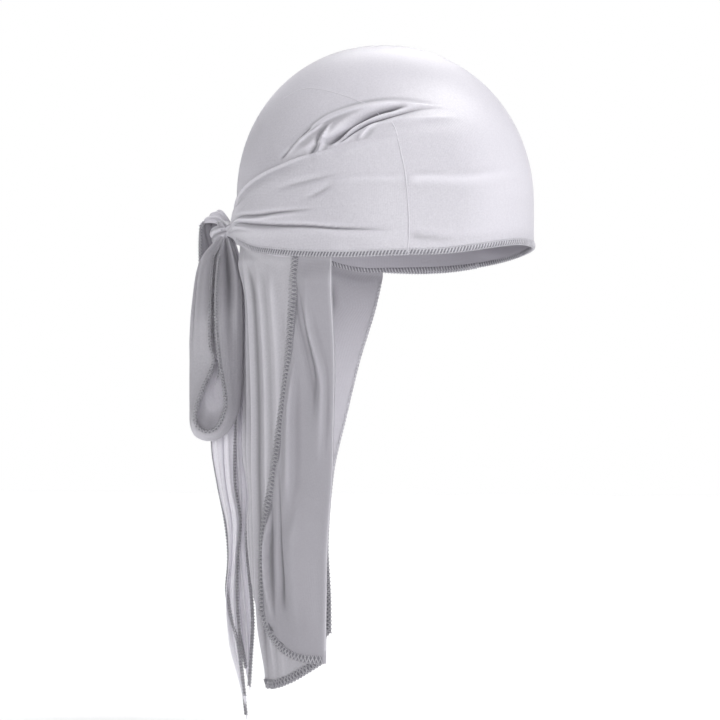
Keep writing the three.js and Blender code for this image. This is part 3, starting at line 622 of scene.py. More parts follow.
def threads(name, paths, outs, width, height, dye_name, sides=5, ease=1):
    """Short threads as one mesh: a tube of a few faces along each row of points."""
    count, points = paths.shape[:2]
    run = unit(np.gradient(paths, axis=1))
    across = unit(np.cross(run, outs))
    outs = unit(np.cross(across, run))
    turn = np.arange(sides) * 2 * math.pi / sides
    taper = np.ones(points) * ease
    taper[[0, -1]] *= THREAD_TIP
    ring = paths[:, :, None] + taper[:, None, None] * (
        across[:, :, None] * (np.cos(turn) * width / 2)[:, None]
        + outs[:, :, None] * (np.sin(turn) * height / 2)[:, None]
    )
    rows = count * points - 1
    obj, u, v = new_grid(name, sides, rows, uvs=False)
    mesh = obj.data
    side = np.round(u * sides).astype(int)
    row = np.round(v * rows).astype(int)
    laid = ring[row // points, row % points, side % sides]
    mesh.vertices.foreach_set("co", (laid * MM).ravel())
    # The faces between one thread and the next are taken out, and the ends are closed.
    corners = np.empty(len(mesh.loops), int)
    mesh.loops.foreach_get("vertex_index", corners)
    first = row[corners].reshape(-1, 4).min(axis=1)
    bpy.context.tool_settings.mesh_select_mode = (False, False, True)
    mesh.vertices.foreach_set("select", np.zeros(len(mesh.vertices), bool))
    mesh.edges.foreach_set("select", np.zeros(len(mesh.edges), bool))
    mesh.polygons.foreach_set("select", first % points == points - 1)
    bpy.ops.object.mode_set(mode="EDIT")
    if count > 1:
        bpy.ops.mesh.delete(type="FACE")
    bpy.context.tool_settings.mesh_select_mode = (True, False, False)
    bpy.ops.mesh.select_all(action="SELECT")
    bpy.ops.mesh.remove_doubles(threshold=SAME_PLACE / 10)
    bpy.ops.mesh.fill_holes(sides=0)
    bpy.ops.mesh.select_all(action="SELECT")
    bpy.ops.mesh.normals_make_consistent(inside=False)
    bpy.ops.object.mode_set(mode="OBJECT")
    bpy.ops.object.shade_smooth_by_angle(angle=THREAD_SHARP)
    mesh.materials.append(dye(dye_name))
    finish(obj)
    return obj


def along_edge(points, directions, pitch):
    """Places a pitch apart along an edge, with their directions along, out and up."""
    steps = travelled(points)
    count = max(2, int(steps[-1] / pitch))
    at = (np.arange(count) + 0.5) * steps[-1] / count

    def pick(values):
        return np.stack([np.interp(at, steps, column) for column in values.T], axis=1)

    place = pick(points)
    out, up = directions
    return place, unit(np.gradient(place, axis=0)), unit(pick(out)), pick(up)


def overlock(edge, directions, pitch, height, slant, wall, radius):
    """Thread paths that wrap an edge, one for each stitch, with their out directions."""
    place, run, out, up = along_edge(edge, directions, pitch)
    lift = wall / 2 + radius * 0.6
    knots = [
        (height, -0.5, lift * 0.7),
        (height * 0.72, -0.25, lift * 1.25),
        (height * 0.3, 0.2, lift * 1.3),
        (-0.25, 0.5, lift * 0.75),
        (-0.25, 0.55, -lift * 0.75),
        (height * 0.4, 0.2, -lift * 1.2),
        (height * 0.9, -0.3, -lift * 0.7),
    ]
    paths = [place + up * h + run * (slant * s) + out * o for h, s, o in knots]
    outs = [out * (1 if o > 0 else -1) + up * (-0.8 if h < 0 else 0) for h, s, o in knots]
    return np.stack(paths, axis=1), unit(np.stack(outs, axis=1))


def band_and_gap_shade(name, points, directions, breadth, wall, ease=1):
    """Flat band of darker thread that lies along an edge, under the threads that wrap it; it also
    paints the shade that shows between them.
    """
    out, up = directions
    middle = (points + up * (breadth / 2 - BAND_OVER))[None]
    return threads(name, middle, out[None], breadth * 0.98, wall + BAND_WALL, "thread_dim", 8, ease)


def needle_line(edge, directions, pitch, height, wall, radius):
    """Short stitches in line along an edge, at a height above it."""
    place, run, out, up = along_edge(edge, directions, pitch)
    paths = [
        place + up * height + run * (s * pitch) + out * (wall / 2 + lift * radius)
        for s, lift in ((-0.4, -0.05), (0, 0.25), (0.4, -0.05))
    ]
    return np.stack(paths, axis=1), np.repeat(out[:, None], 3, axis=1)


def sewn_rim(word, edge, directions, slant, size):
    """Overlock of a rim or hem, the line of stitches above it and the band under it, which also
    paints the shade between the stitches.
    """
    wall, thread, pitch, height = (
        size[key] for key in ("wall", "thread", "overlock_pitch", "overlock_height")
    )
    paths, outs = overlock(edge, directions, pitch, height, slant, wall, thread)
    wraps = threads(f"{word}_overlock", paths, outs, thread * 1.3, thread, "thread")
    paths, outs = needle_line(edge, directions, pitch, height + NEEDLE_GAP, wall, thread)
    name = f"{word}_needle_line"
    line = threads(name, paths, outs, thread * 0.8, thread * 0.7, "thread", 4)
    return [wraps, line, band_and_gap_shade(f"{word}_binding", edge, directions, height, wall)]


# Materials


class Tone:
    """A socket of a node tree, with arithmetic on values."""

    def __init__(self, tree, socket):
        self.tree = tree
        self.socket = socket

    def maths(self, operation, *values):
        settings = {"operation": operation}
        return tone(self.tree, "ShaderNodeMath", settings, dict(enumerate(values)))

    def __add__(self, other):
        return self.maths("ADD", self, other)

    def __radd__(self, other):
        return self.maths("ADD", other, self)

    def __sub__(self, other):
        return self.maths("SUBTRACT", self, other)

    def __rsub__(self, other):
        return self.maths("SUBTRACT", other, self)

    def __mul__(self, other):
        return self.maths("MULTIPLY", self, other)

    def __rmul__(self, other):
        return self.maths("MULTIPLY", other, self)

    def sine(self):
        return self.maths("SINE", self)

    def clamp(self, low, high):
        return self.maths("MINIMUM", self.maths("MAXIMUM", self, low), high)


def add_node(tree, kind, settings=None, inputs=None):
    """A node of any type: its settings first, then the values or links of its sockets."""
    made = tree.nodes.new(kind)
    for key, value in (settings or {}).items():
        setattr(made, key, value)
    for key, value in (inputs or {}).items():
        if isinstance(value, Tone):
            tree.links.new(value.socket, made.inputs[key])
        else:
            made.inputs[key].default_value = value
    return made


def tone(tree, kind, settings=None, inputs=None, output=0):
    return Tone(tree, add_node(tree, kind, settings, inputs).outputs[output])


def noise(tree, scale, detail, roughness=0.5):
    place = tone(tree, "ShaderNodeTexCoord", output="Object")
    inputs = {"Vector": place, "Scale": scale, "Detail": detail, "Roughness": roughness}
    return tone(tree, "ShaderNodeTexNoise", None, inputs)


def blend(tree, factor, first, second):
    inputs = {0: factor, 6: first, 7: second}
    return tone(tree, "ShaderNodeMix", {"data_type": "RGBA"}, inputs, 2)


def rgba(colour):
    return (*colour, 1.0)


def new_dye(name):
    material = bpy.data.materials.new(name)
    material.use_nodes = True
    return material, material.node_tree, material.node_tree.nodes["Principled BSDF"]


def satin(name, colour, shade, roughness, sheen, weave, face):
    """Thin satin: the knit's ribs, faint slubs, painted shade in the hollows and painted highlights
    on the crests.
    """
    material, tree, shader = new_dye(name)
    laid = tone(tree, "ShaderNodeUVMap", {"uv_map": "cloth"})
    parts = add_node(tree, "ShaderNodeSeparateXYZ", None, {"Vector": laid})
    across, along = (Tone(tree, parts.outputs[k]) for k in (0, 1))
    cloud = noise(tree, CLOUD_SCALE, 3.0)
    slub = noise(tree, SLUB_SCALE, 2.0, 0.6)
    wander = cloud * 0.7
    ribs = (across * (2 * math.pi / RIB_PITCH) + wander).sine() * 0.5 + 0.5
    rungs = (along * (2 * math.pi / RUNG_PITCH) + wander).sine() * 0.5 + 0.5
    knit = ribs * 0.6 + rungs * 0.4
    spread = (cloud - 0.5) * 0.45 + (slub - 0.5) * 1.1 + (knit - 0.5) * 0.15
    mixed = blend(tree, (0.32 + spread).clamp(0.0, 1.0), rgba(colour), rgba(shade))
    relief = tone(tree, "ShaderNodeAttribute", {"attribute_name": "relief"}, output="Fac")
    # Painted shade darkens the hollows and a painted highlight lightens the crests
    for most, darker in (
        (PAINTED_SHADE_MOST, [PAINTED_SHADE_TONE * c for c in shade]),
        (-PAINTED_HIGHLIGHT_MOST, [min(PAINTED_HIGHLIGHT_LIMIT, PAINTED_HIGHLIGHT_TONE * c) for c in colour]),
    ):
        share = (relief * (most * face)).clamp(0.0, abs(most))
        mixed = blend(tree, share, mixed, rgba(darker))
    tree.links.new(mixed.socket, shader.inputs["Base Color"])
    rough = (roughness + (slub - 0.5) * 0.16 + (cloud - 0.5) * 0.1).clamp(0.15, 0.9)
    tree.links.new(rough.socket, shader.inputs["Roughness"])
    inputs = {"Strength": weave, "Distance": 0.0002, "Height": knit * 0.7 + slub * 0.6}
    bump = add_node(tree, "ShaderNodeBump", None, inputs)
    tree.links.new(bump.outputs[0], shader.inputs["Normal"])
    shader.inputs["Specular IOR Level"].default_value = 0.5
    shader.inputs["Anisotropic"].default_value = 0.55
    shader.inputs["Sheen Weight"].default_value = sheen
    shader.inputs["Sheen Roughness"].default_value = 0.42
    shader.inputs["Sheen Tint"].default_value = (0.96, 0.95, 1.0, 1.0)
    return material


def thread_dye(name, colour, shade):
    """Sewing thread: patches of two tones and a fuzzy face."""
    material, tree, shader = new_dye(name)
    fuzz = noise(tree, 1500.0, 2.0)
    patch = noise(tree, 260.0, 2.0)
    share = (patch * 0.9 + fuzz * 0.5 - 0.25).clamp(0.0, 1.0)
    mixed = blend(tree, share, rgba(colour), rgba(shade))
    tree.links.new(mixed.socket, shader.inputs["Base Color"])
    inputs = {"Strength": 0.5, "Distance": 0.0001, "Height": fuzz}
    bump = add_node(tree, "ShaderNodeBump", None, inputs)
    tree.links.new(bump.outputs[0], shader.inputs["Normal"])
    shader.inputs["Roughness"].default_value = 0.55
    shader.inputs["Sheen Weight"].default_value = 0.25
    return material


DYES = {}


def dye(name):
    """The material of one name, which is made when it is first asked for."""
    colours = bpy.context.scene.durag_colours

    def scaled(key, share):
        return [share * c for c in getattr(colours, key)]

    if name not in DYES and name in SATINS:
        key, share, hollow, hollow_share, rougher, *rest = SATINS[name]
        pair = scaled(key, share), scaled(hollow, hollow_share)
        DYES[name] = satin(name, *pair, colours.roughness + rougher, *rest)
    elif name not in DYES:
        key, share, shade, shade_share = THREADS[name]
        DYES[name] = thread_dye(name, scaled(key, share), scaled(shade, shade_share))
    return DYES[name]


# Places of each piece


def crown_surface(angle, z, outside=RIM_OUTSIDE):
    """Place on the crown, with its folds, a distance outside the hollow."""
    share = (z - RIM_OUTSIDE) / (rim_height(angle) - RIM_OUTSIDE)
    rise, push = fold_shape(CROWN_FOLDS, angle, z)
    around = np.clip(np.abs(angle), SEAM_ANGLE, 178)
    below_edge = -z / CROWN_DEPTH - follow(STRAP_LINE, "angle", "top", around)
    under = smooth(np.abs(angle), 62, 68) * smooth(below_edge, 0.0, 0.035)
    fade = smooth(share, 0.08, 0.25) * (1 - under)
    points = head_point(angle, z, outside) + head_normal(angle, z) * (rise * fade)[:, None]
    points[:, 2] -= push * fade
    return points


def crown_spots(u, v):
    """Angle and height of the places of the crown's grid, which is finer at the folds."""
    angle = denser(u, -180, 180, (-86, 86), 38, 3.2)
    share = denser(v, 0, 1, (0.44,), 0.15, 2.2)
    return angle, mix(RIM_OUTSIDE, rim_height(angle), share)


def crown_place(u, v):
    return crown_surface(*crown_spots(u, v))


# Painted shade on the crown's rolled fold, darker the further it stands off
def crown_shade(u, v):
    rise, _ = fold_shape(CROWN_FOLDS[:1], *crown_spots(u, v))
    return ROLL_SHADE * rise


def strap_surface(angle, place, side):
    """Place on the strap's middle surface, from 0 at its hem to 1 at its top edge."""
    top = -CROWN_DEPTH * follow(STRAP_LINE, "angle", "top", angle)
    hem = -CROWN_DEPTH * follow(STRAP_LINE, "angle", "hem", angle)
    hem = mix(rim_height(side * angle) - 0.3, hem, smooth(angle, SEAM_ANGLE, 90))
    z = mix(hem, top, place)
    under, push = fold_shape(CROWN_FOLDS[:10], angle, z)
    own, _ = fold_shape(STRAP_FOLDS, angle, z)
    from_top = (1 - place) * (top - hem)
    from_hem = place * (top - hem)
    roll = smooth(angle, 96, 118) * np.exp(-((from_top / TOP_ROLL) ** 2))
    slack = STRAP_SLACK * smooth(angle, 70, 96) * smooth(from_top, 0, 9) * smooth(from_hem, 0, 12)
    over_flap = OVER_FLAP * smooth(angle, 86, 93) * (1 - smooth(angle, 112, 140))
    over_flap = over_flap * (1 - smooth(from_hem, 2, 16))
    off = follow(STRAP_LINE, "angle", "off", angle) * (KNOT_STAND_OFF + KNOT_LENGTH / 2)
    ease = 1 - 0.45 * smooth(angle, 160, 176)
    base = 1.08 + 0.3 * smooth(angle - SEAM_ANGLE, 2, 12) + 0.6 * smooth(angle, 100, 130)
    lift = np.maximum(under, 0) + own * ease + roll + slack + over_flap + off
    points = head_point(angle, z, base) + head_normal(angle, z) * lift[:, None]
    points[:, 2] -= push
    points[:, 1] *= side
    return points


def strap_place(side):
    def place(u, v):
        return strap_surface(mix(SEAM_ANGLE, STRAP_END, 1 - u if side > 0 else u), v, side)

    return place


def bow_point(out, beside, drop):
    c, s = math.cos(BOW_TURN), math.sin(BOW_TURN)
    return KNOT + stack(out * c - beside * s, out * s + beside * c, -np.asarray(drop, float))


def loop_surface(table, side, way, place):
    """Place on a loop before its pleats, from 0 at its outer edge to 1 at its inner edge."""

    def bowed(*keys):
        edge, swell, back = (follow(table, "way", key, way) for key in keys)
        return (
            edge * (1 - place) * (1 - 2 * place)
            + 4 * swell * place * (1 - place)
            + back * place * (2 * place - 1)
        )

    out = bowed("edge", "swell", "back") * LOOP_SPREAD
    drop = bowed("edge_drop", "swell_drop", "back_drop") * LOOP_DROP
    opened = smooth(np.minimum(way, 1 - way), 0.02, 0.26)
    outer = mix(0.26, 1, opened) * LOOP_FAR
    inner = mix(0.42, 1, opened) * LOOP_NEAR
    return bow_point(out, side * mix(outer, inner, place), drop)


def pleated_loop(table, side, way, place):
    """A loop's surface with the pleats that run into it from the knot."""
    turn = 2 * math.pi * place
    wave = np.sin(3.1 * turn + 0.4 + 5 * way) + 0.45 * np.sin(5.7 * turn + 2.0)
    sharp = np.sign(wave) * np.abs(wave) ** 0.8
    from_knot = np.minimum(way, 1 - way)
    depth = np.where((side > 0) & (way < 0.3), ARCH_PLEATS, LOOP_PLEATS)
    depth = depth * (1 - smooth(from_knot, 0.1, 0.36)) + LOOP_RIPPLE

    def bare(way, place):
        return loop_surface(table, side, np.clip(way, 0, 1), place)

    return lifted(bare, way, place, sharp * depth * smooth(from_knot, 0.0, 0.04))


def loop_place(table, side):
    def place(u, v):
        return pleated_loop(table, side, v, u if side < 0 else 1 - u)

    return place


def end_surface(table, side, length, drop, place):
    """Place on a strap end, from -1 at its rear edge to 1 at its front edge."""
    out, half, fold, curl = (
        follow(table, "drop", key, drop) for key in ("out", "half", "fold", "curl")
    )
    turned = np.clip((-0.3 - place) / 0.7, 0, 1)
    out = (out + half * (place + curl * turned**1.5)) * LOOP_SPREAD
    beside = END_PLANE * mix(0.55, 1, smooth(drop, 0, 0.1))
    beside = beside - 0.8 * END_PLANE * fold * (place * place - 0.5)
    beside = beside + 1.6 * np.minimum(curl, 1) * smooth(turned, 0, 0.5)
    crease = 0.0
    for middle, sway, height, width in END_CREASES:
        apart = np.abs(place - middle - sway * np.sin(6 * drop + 9 * middle))
        crease += height * np.exp(-((apart / width) ** 1.6))
    crease = crease * smooth(drop, 0.01, 0.08) * (1 - smooth(drop, 0.88, 1))
    slant = 0.02 * (1 - place) * smooth(drop, 0.8, 1)
    return bow_point(out, side * (beside + crease), (drop - slant) * length)


def end_place(table, side, length):
    def place(u, v):
        return end_surface(table, side, length, v, 2 * u - 1 if side < 0 else 1 - 2 * u)

    return place


def share_down(z):
    """How far down the flap a height is, from 0 at the crown's depth to 1."""
    return (-z - CROWN_DEPTH) / FLAP_LENGTH


def flap_point(angle, z, outside):
    """Place on the flap's oval at a height, before its pleats."""
    drop = share_down(z)
    middle, reach, half = (
        follow(FLAP_PLAN, "drop", key, drop) for key in ("middle", "reach", "width")
    )
    reach = reach * HEAD_LENGTH / 2 + RIM_OUTSIDE + outside
    half = half * HEAD_WIDTH / 2 + RIM_OUTSIDE + outside
    turn = np.radians(angle)
    along = np.cos(turn)
    at_back = 1 - smooth(np.abs(angle - 180), 12, 46)
    drawn = at_back * follow(BACK_HOLLOW, "drop", "depth", drop)
    x = middle * HEAD_LENGTH / 2 + reach * along + drawn
    return stack(x, -half * np.sin(turn) * (1 - EGG_SHAPE * along), z)


def pleat_rise(angle, z, g):
    """Rise of the flap's pleats, which begin below the straps' hems."""
    around = np.abs(np.where(angle > 180, 360 - angle, angle))
    hem = -CROWN_DEPTH * follow(STRAP_LINE, "angle", "hem", around) - 0.5
    rise = np.zeros(len(z))
    for place, height, width in zip(*FLAP_FOLDS.values()):
        breadth = width * np.where(g < place, 0.75, 1.3)
        rise += height * np.exp(-((np.abs(g - place) / breadth) ** 1.5))
    ease = 1 - 0.55 * smooth(share_down(z), 0.84, 0.97)
    return FLAP_FOLD * rise * smooth(hem - z, 1, 28) * ease * smooth(g, *FIRST_PLEAT)


def turned_rise(f, drop):
    """Rise of the turned-back layer's soft folds, at shares of its breadth and length."""
    rise = np.zeros(len(f))
    for height, before, after, drops, places in TURNED_FOLDS:
        middle = curve(drops, places, drop)
        width = np.where(f < middle, before, after)
        first, last = drops[0], drops[-1]
        taper = smooth(drop, first, mix(first, last, 0.35))
        taper = taper * (1 - smooth(drop, mix(first, last, 0.6), last))
        rise += height * taper * np.exp(-((np.abs(f - middle) / width) ** 1.7))
    return rise * smooth(f, 0.0, 0.12) * (1 - smooth(f, 0.85, 1))


def flap_surface(u, level):
    """Place on the flap, from the free near edge round the fold and on to the far edge."""
    f = np.clip(u / TURNED_SHARE, 0, 1)
    bend = np.clip((u - TURNED_SHARE) / FOLD_SHARE, 0, 1)
    g = np.clip((u - FOLD_END) / (1 - FOLD_END), 0, 1)
    inner = u > FOLD_END
    # Its foot dips at the nape and rises to the free edge's corner.
    dip = np.sin(math.pi / 2 * np.minimum(1, g / DIP_PLACE))
    dip = NAPE_DIP * dip * (1 - smooth(g, DIP_PLACE, 2 * DIP_PLACE))
    foot = NEAR_FOOT + dip - FAR_RISE * g - FAR_CORNER * smooth(g, 0.9, 1) ** 2
    foot = np.where(inner, foot, NEAR_FOOT - CORNER_RISE * (1 - f) ** 3)
    rim_angle = mix(FLAP_PLAN["near"][0], FLAP_PLAN["far"][0], g)
    rim_angle = np.where(rim_angle > 180, rim_angle - 360, rim_angle)
    head = np.where(inner, rim_height(rim_angle), -CROWN_DEPTH + 5.0)
    z = mix(head, -CROWN_DEPTH - foot * FLAP_LENGTH, level)
    drop = share_down(z)
    near, far, turned = (
        follow(FLAP_PLAN, "drop", key, drop) for key in ("near", "far", "turned")
    )
    angle = np.where(inner, mix(near, far, g), mix(turned, near, f))
    # The turned-back layer lies over the pleats behind it and never sinks into them.
    tucked = mix(0.22, 1, smooth(-CROWN_DEPTH - 1.5 - z, -2, 16))
    outwards = TURNED_OFFSET * tucked * (1 + np.cos(math.pi * bend)) / 2
    under = pleat_rise(angle, z, (angle - near) / (far - near)) + LAYER_GAP - outwards
    soft = 0.5 * np.logaddexp(2 * turned_rise(f, drop), 2 * under) * (bend == 0)
    rise = np.where(inner, pleat_rise(angle, z, g), soft)
    points = flap_point(angle, z, outwards + rise)
    ahead = unit(flap_point(angle - 1, z, outwards) - flap_point(angle, z, outwards))
    forward = np.sin(math.pi * bend) * TURNED_OFFSET * tucked / 2
    points = points + ahead * forward[:, None]
    # The top follows the crown's rim, where it is sewn on.
    sewn = head_point(rim_angle, np.maximum(z, -CROWN_DEPTH), 0.55)
    sewn[:, 2] = z
    hold = np.where(inner, 1 - smooth(head - z, 0, 7), 0)
    return mix(points, sewn, hold[:, None])


def lifted(surface, a, b, height):
    """A surface of two numbers pushed out along its normal."""
    e = 0.004
    run = surface(a + e, b) - surface(a - e, b)
    across = surface(a, b + e) - surface(a, b - e)
    return surface(a, b) + unit(np.cross(run, across)) * height[:, None]


def edge_frame(surface, along, edge, inside):
    """Points of an edge and its out and up directions, from a surface of two numbers."""
    at_edge = surface(along, np.full(len(along), edge))
    further = surface(along, np.full(len(along), inside))
    up = unit(further - at_edge)
    run = unit(np.gradient(at_edge, axis=0))
    up = unit(up - run * np.einsum("ij,ij->i", up, run)[:, None])
    out = unit(np.cross(up, run))
    return at_edge, out, up


def lattice(name, surface, span, edge, inside, stitch, size, eased=None):
    """Sews an edge of a surface with threads that wrap it and cross each other. A stitch is
    its pitch and breadth, and eased is a table of its share of that breadth along the edge."""
    pitch, breadth = stitch
    along = np.linspace(*span, EDGE_STEPS)
    points, out, up = edge_frame(surface, along, edge, inside)
    ease = follow(eased, "at", "share", along) if eased else np.ones(EDGE_STEPS)
    wall, thread, sides = size["wall"], size["thread"], (out, up * ease[:, None])
    there, there_outs = overlock(points, sides, pitch, breadth, pitch, wall, thread)
    lifted_wall = wall + BRAID_LIFT
    back, back_outs = overlock(points, sides, pitch, breadth, -pitch, lifted_wall, thread)
    paths, outs = np.concatenate([there, back]), np.concatenate([there_outs, back_outs])
    return [
        threads(name, paths, outs, thread * 1.15, thread, "thread_grey", 4),
        band_and_gap_shade(f"{name}_binding", points, sides, breadth, wall, ease),
    ]


def seam_path(side):
    """Where the side seam's bead runs over the crown, with its out directions."""
    angle, level = line_on_head(SIDE_SEAM, 260)
    faces = head_normal(side * angle, level)
    on_crown = crown_surface(side * angle, level, 0.9)
    raised = np.maximum(fold_shape(CROWN_FOLDS, angle, level)[0], 0)
    on_strap = head_point(side * angle, level, 1.5) + faces * raised[:, None]
    top = -CROWN_DEPTH * follow(STRAP_LINE, "angle", "top", np.clip(angle, SEAM_ANGLE, 178))
    points = np.where((level > top - 1)[:, None], on_crown, on_strap)
    for _ in range(6):
        points[1:-1] = (points[:-2] + 2 * points[1:-1] + points[2:]) / 4
    place, breadth, depth = SEAM_SUNK
    sunk = depth * np.exp(-(((-level / CROWN_DEPTH - place) / breadth) ** 4))
    return points - faces * sunk[:, None], faces


def size_field(name, description, default):
    return FloatProperty(name=name, description=description, default=default, unit="LENGTH")


def colour_field(name, description, default):
    words = {"name": name, "description": description}
    return FloatVectorProperty(**words, default=default, subtype="COLOR")


class DuragSizes(bpy.types.PropertyGroup):
    wall: size_field("Cloth", "Thickness of the satin", 0.0005)
    overlock_pitch: size_field("Overlock pitch", "Between the rim's stitches", 0.0021)
    overlock_height: size_field("Overlock height", "Breadth of the sewn rim", 0.0034)
    braid_pitch: size_field("Edge pitch", "Between the flap's stitches", 0.0026)
    braid_width: size_field("Edge breadth", "Breadth of the flap's sewn edge", 0.0058)
    thread: size_field("Thread", "Thickness of the sewing thread", 0.0007)
    floor_drop: size_field("Floor", "How far the floor is below the crown's top", 0.462)


class DuragColours(bpy.types.PropertyGroup):
    face: colour_field("Satin", "The satin's face", (0.6, 0.585, 0.63))
    # The darker tone gives the satin's random mottle and the painted shade of its hollows
    hollow: colour_field("Hollows", "Darker tone of the satin", (0.45, 0.435, 0.48))
    reverse: colour_field("Reverse", "The satin's duller back", (0.45, 0.435, 0.48))
    thread: colour_field("Thread", "Overlock thread", (0.66, 0.65, 0.69))
    thread_shade: colour_field("Thread shade", "Darker tone of the thread", (0.34, 0.33, 0.37))
    floor: colour_field("Floor", "Plain pale floor", (0.97, 0.97, 0.975))
    roughness: FloatProperty(
        name="Roughness", description="Of the satin's face", default=0.4, subtype="FACTOR"
    )


def sizes():
    """The cloth's and the stitches' sizes in millimetres."""
    group = bpy.context.scene.durag_sizes
    return {key: getattr(group, key) / MM for key in DuragSizes.__annotations__}


def sewn_inside(side, word, size):
    """The rim's stitches and band inside the crown, where a strap hides its outside; the band also
    paints the shade between the stitches.
    """
    angle = side * np.linspace(SEAM_ANGLE - 2, 150, 120)
    edge = head_point(angle, rim_height(angle), RIM_OUTSIDE)
    into = -head_normal(angle, rim_height(angle))
    up = np.repeat([UPWARDS], len(angle), axis=0)
    place, run, out, rise = along_edge(edge, (into, up), size["overlock_pitch"])
    rungs = np.stack([place + rise * h + run * s + out * o for h, s, o in INNER_STITCH], axis=1)
    outs = np.repeat(out[:, None], len(INNER_STITCH), axis=1)
    thread = size["thread"]
    middle = (edge + into * 0.2 + up * INNER_BAND / 2)[None]
    name = f"{word}_inner_rim"
    return [
        threads(f"{name}_threads", rungs, outs, thread * 1.3, thread, "thread", 4),
        # The band is darker thread and also paints the shade between the stitches
        threads(f"{name}_binding", middle, into[None], INNER_BAND, BAND_WALL, "thread_dim", 8),
    ]


class DURAG_OT_crown(bpy.types.Operator):
    """Lays the crown over the head shape and sews its rim"""

    bl_idname = "durag.crown"
    bl_label = "Crown"

    def execute(self, context):
        size = sizes()
        dyes = ("satin", "satin_reverse")
        # The crown's rolled fold gets painted shade
        form = {"merge": True, "shade": crown_shade}
        crown = cloth("crown_cloth", 330, 128, crown_place, size["wall"], dyes, **form)
        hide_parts("crown")
        angle = np.linspace(-SEAM_ANGLE, SEAM_ANGLE, 160)
        rim = head_point(angle, rim_height(angle), RIM_OUTSIDE)
        out = head_normal(angle, rim_height(angle))
        up = np.repeat([UPWARDS], len(angle), axis=0)
        sewn = sewn_rim("rim", rim, (out, up), STITCH_SLANT, size)
        for side, word in ((1, "right"), (-1, "left")):
            sewn += sewn_inside(side, word, size)
            points, outs = seam_path(side)
            seam = f"{word}_side_seam"
            sewn.append(threads(seam, points[None], outs[None], *SEAM_BEAD, "satin_seam", 6))
        return {"FINISHED"}


class DURAG_OT_straps(bpy.types.Operator):
    """Draws the two straps round from the side seams to the knot and sews their hems"""

    bl_idname = "durag.straps"
    bl_label = "Straps"

    def execute(self, context):
        size = sizes()
        dyes = ("satin", "satin_reverse")
        for side, word in ((1, "right"), (-1, "left")):
            name = f"{word}_strap"
            strap = cloth(f"{name}_cloth", 190, 84, strap_place(side), size["wall"], dyes)
            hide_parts(name)
            angle = np.linspace(SEAM_ANGLE, 152, 170)
            surface = partial(strap_surface, side=side)
            edge, out, up = edge_frame(surface, angle, 0.0, 0.03)
            out *= np.sign(np.einsum("ij,ij->i", out, edge - [HEAD_MIDDLE]))[:, None]
            sewn = sewn_rim(f"{word}_hem", edge, (out, up), STITCH_SLANT * side, size)
        return {"FINISHED"}


def knot_core(u, v):
    turn, rise = u * 2 * math.pi, (v - 0.5) * math.pi
    x, y, z = np.cos(rise) * np.cos(turn), np.cos(rise) * np.sin(turn), np.sin(rise)
    swell = 1 + 0.06 * np.sin(7 * z + 2 * turn) * np.cos(rise)
    return KNOT + stack(*(way * half * swell for way, half in zip((x, y, z), KNOT_CORE)))


def knot_ring(middle, axis, radii, half, wall, pleats, swirl):
    """Ring of pleated cloth round the knot."""
    axis = unit(np.array(axis, float))
    second = np.array([0.0, 1.0, 0.0])
    first = np.cross(second, axis)

    def place(u, v):
        turn, section = u * 2 * math.pi, v * 2 * math.pi
        across = np.cos(section)
        broad = half * (1 + 0.22 * np.cos(turn + 0.8))
        ridge = 1 + 0.3 * np.cos(pleats * math.pi * across + swirl * turn)
        radial = wall * np.sin(section) * ridge + 0.25 * wall * np.cos(2 * turn)
        shift = across * broad + 1.1 * np.sin(turn * 2 + 0.5)
        out = first * (np.cos(turn) * (radii[0] + radial))[:, None]
        out = out + second * (np.sin(turn) * (radii[1] + radial))[:, None]
        return KNOT + np.array(middle) + out + axis * shift[:, None]

    return place


class DURAG_OT_knot(bpy.types.Operator):
    """Winds the knot behind the head"""

    bl_idname = "durag.knot"
    bl_label = "Knot"

    def execute(self, context):
        windings = [("knot_core", 90, 60, knot_core)]
        for name, columns, rows, *form in KNOT_RINGS:
            windings.append((name, columns, rows, knot_ring(*form)))
        parts = []
        for winding in windings:
            part = laid_grid(*winding)
            merge_doubles(outwards=True)
            bpy.ops.object.shade_smooth()
            part.data.materials.append(dye("satin"))
            parts.append(part)
        choose(parts[0])
        for part in parts:
            part.select_set(True)
        bpy.ops.object.join()
        knot = bpy.context.object
        knot.name = knot.data.name = "knot_cloth"
        finish(knot)
        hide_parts("knot")
        return {"FINISHED"}


class DURAG_OT_loops(bpy.types.Operator):
    """Hangs the two bow loops from the knot"""

    bl_idname = "durag.loops"
    bl_label = "Bow loops"

    def execute(self, context):
        size = sizes()
        # The right loop is a darker copy of the satin with a lighter inside, and the left loop's
        # inside a darker copy: painted shade and painted light
        for word, table, side, dyes in (
            ("right", RIGHT_LOOP, -1, ("satin_bow", "satin_pale")),
            ("left", LEFT_LOOP, 1, ("satin", "satin_dim")),
        ):
            name = f"{word}_loop"
            loop = cloth(f"{name}_cloth", 56, 220, loop_place(table, side), size["wall"], dyes)
            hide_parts(name)
            surface = partial(pleated_loop, table, side)
            stitch = size["overlock_pitch"], LOOP_BRAID
            sewn = []
            for word, at, inside in (("outer", 0.0, 0.05), ("inner", 1.0, 0.95)):
                edge = f"{name}_{word}_edge"
                sewn += lattice(edge, surface, (0.08, 0.92), at, inside, stitch, size)
        return {"FINISHED"}


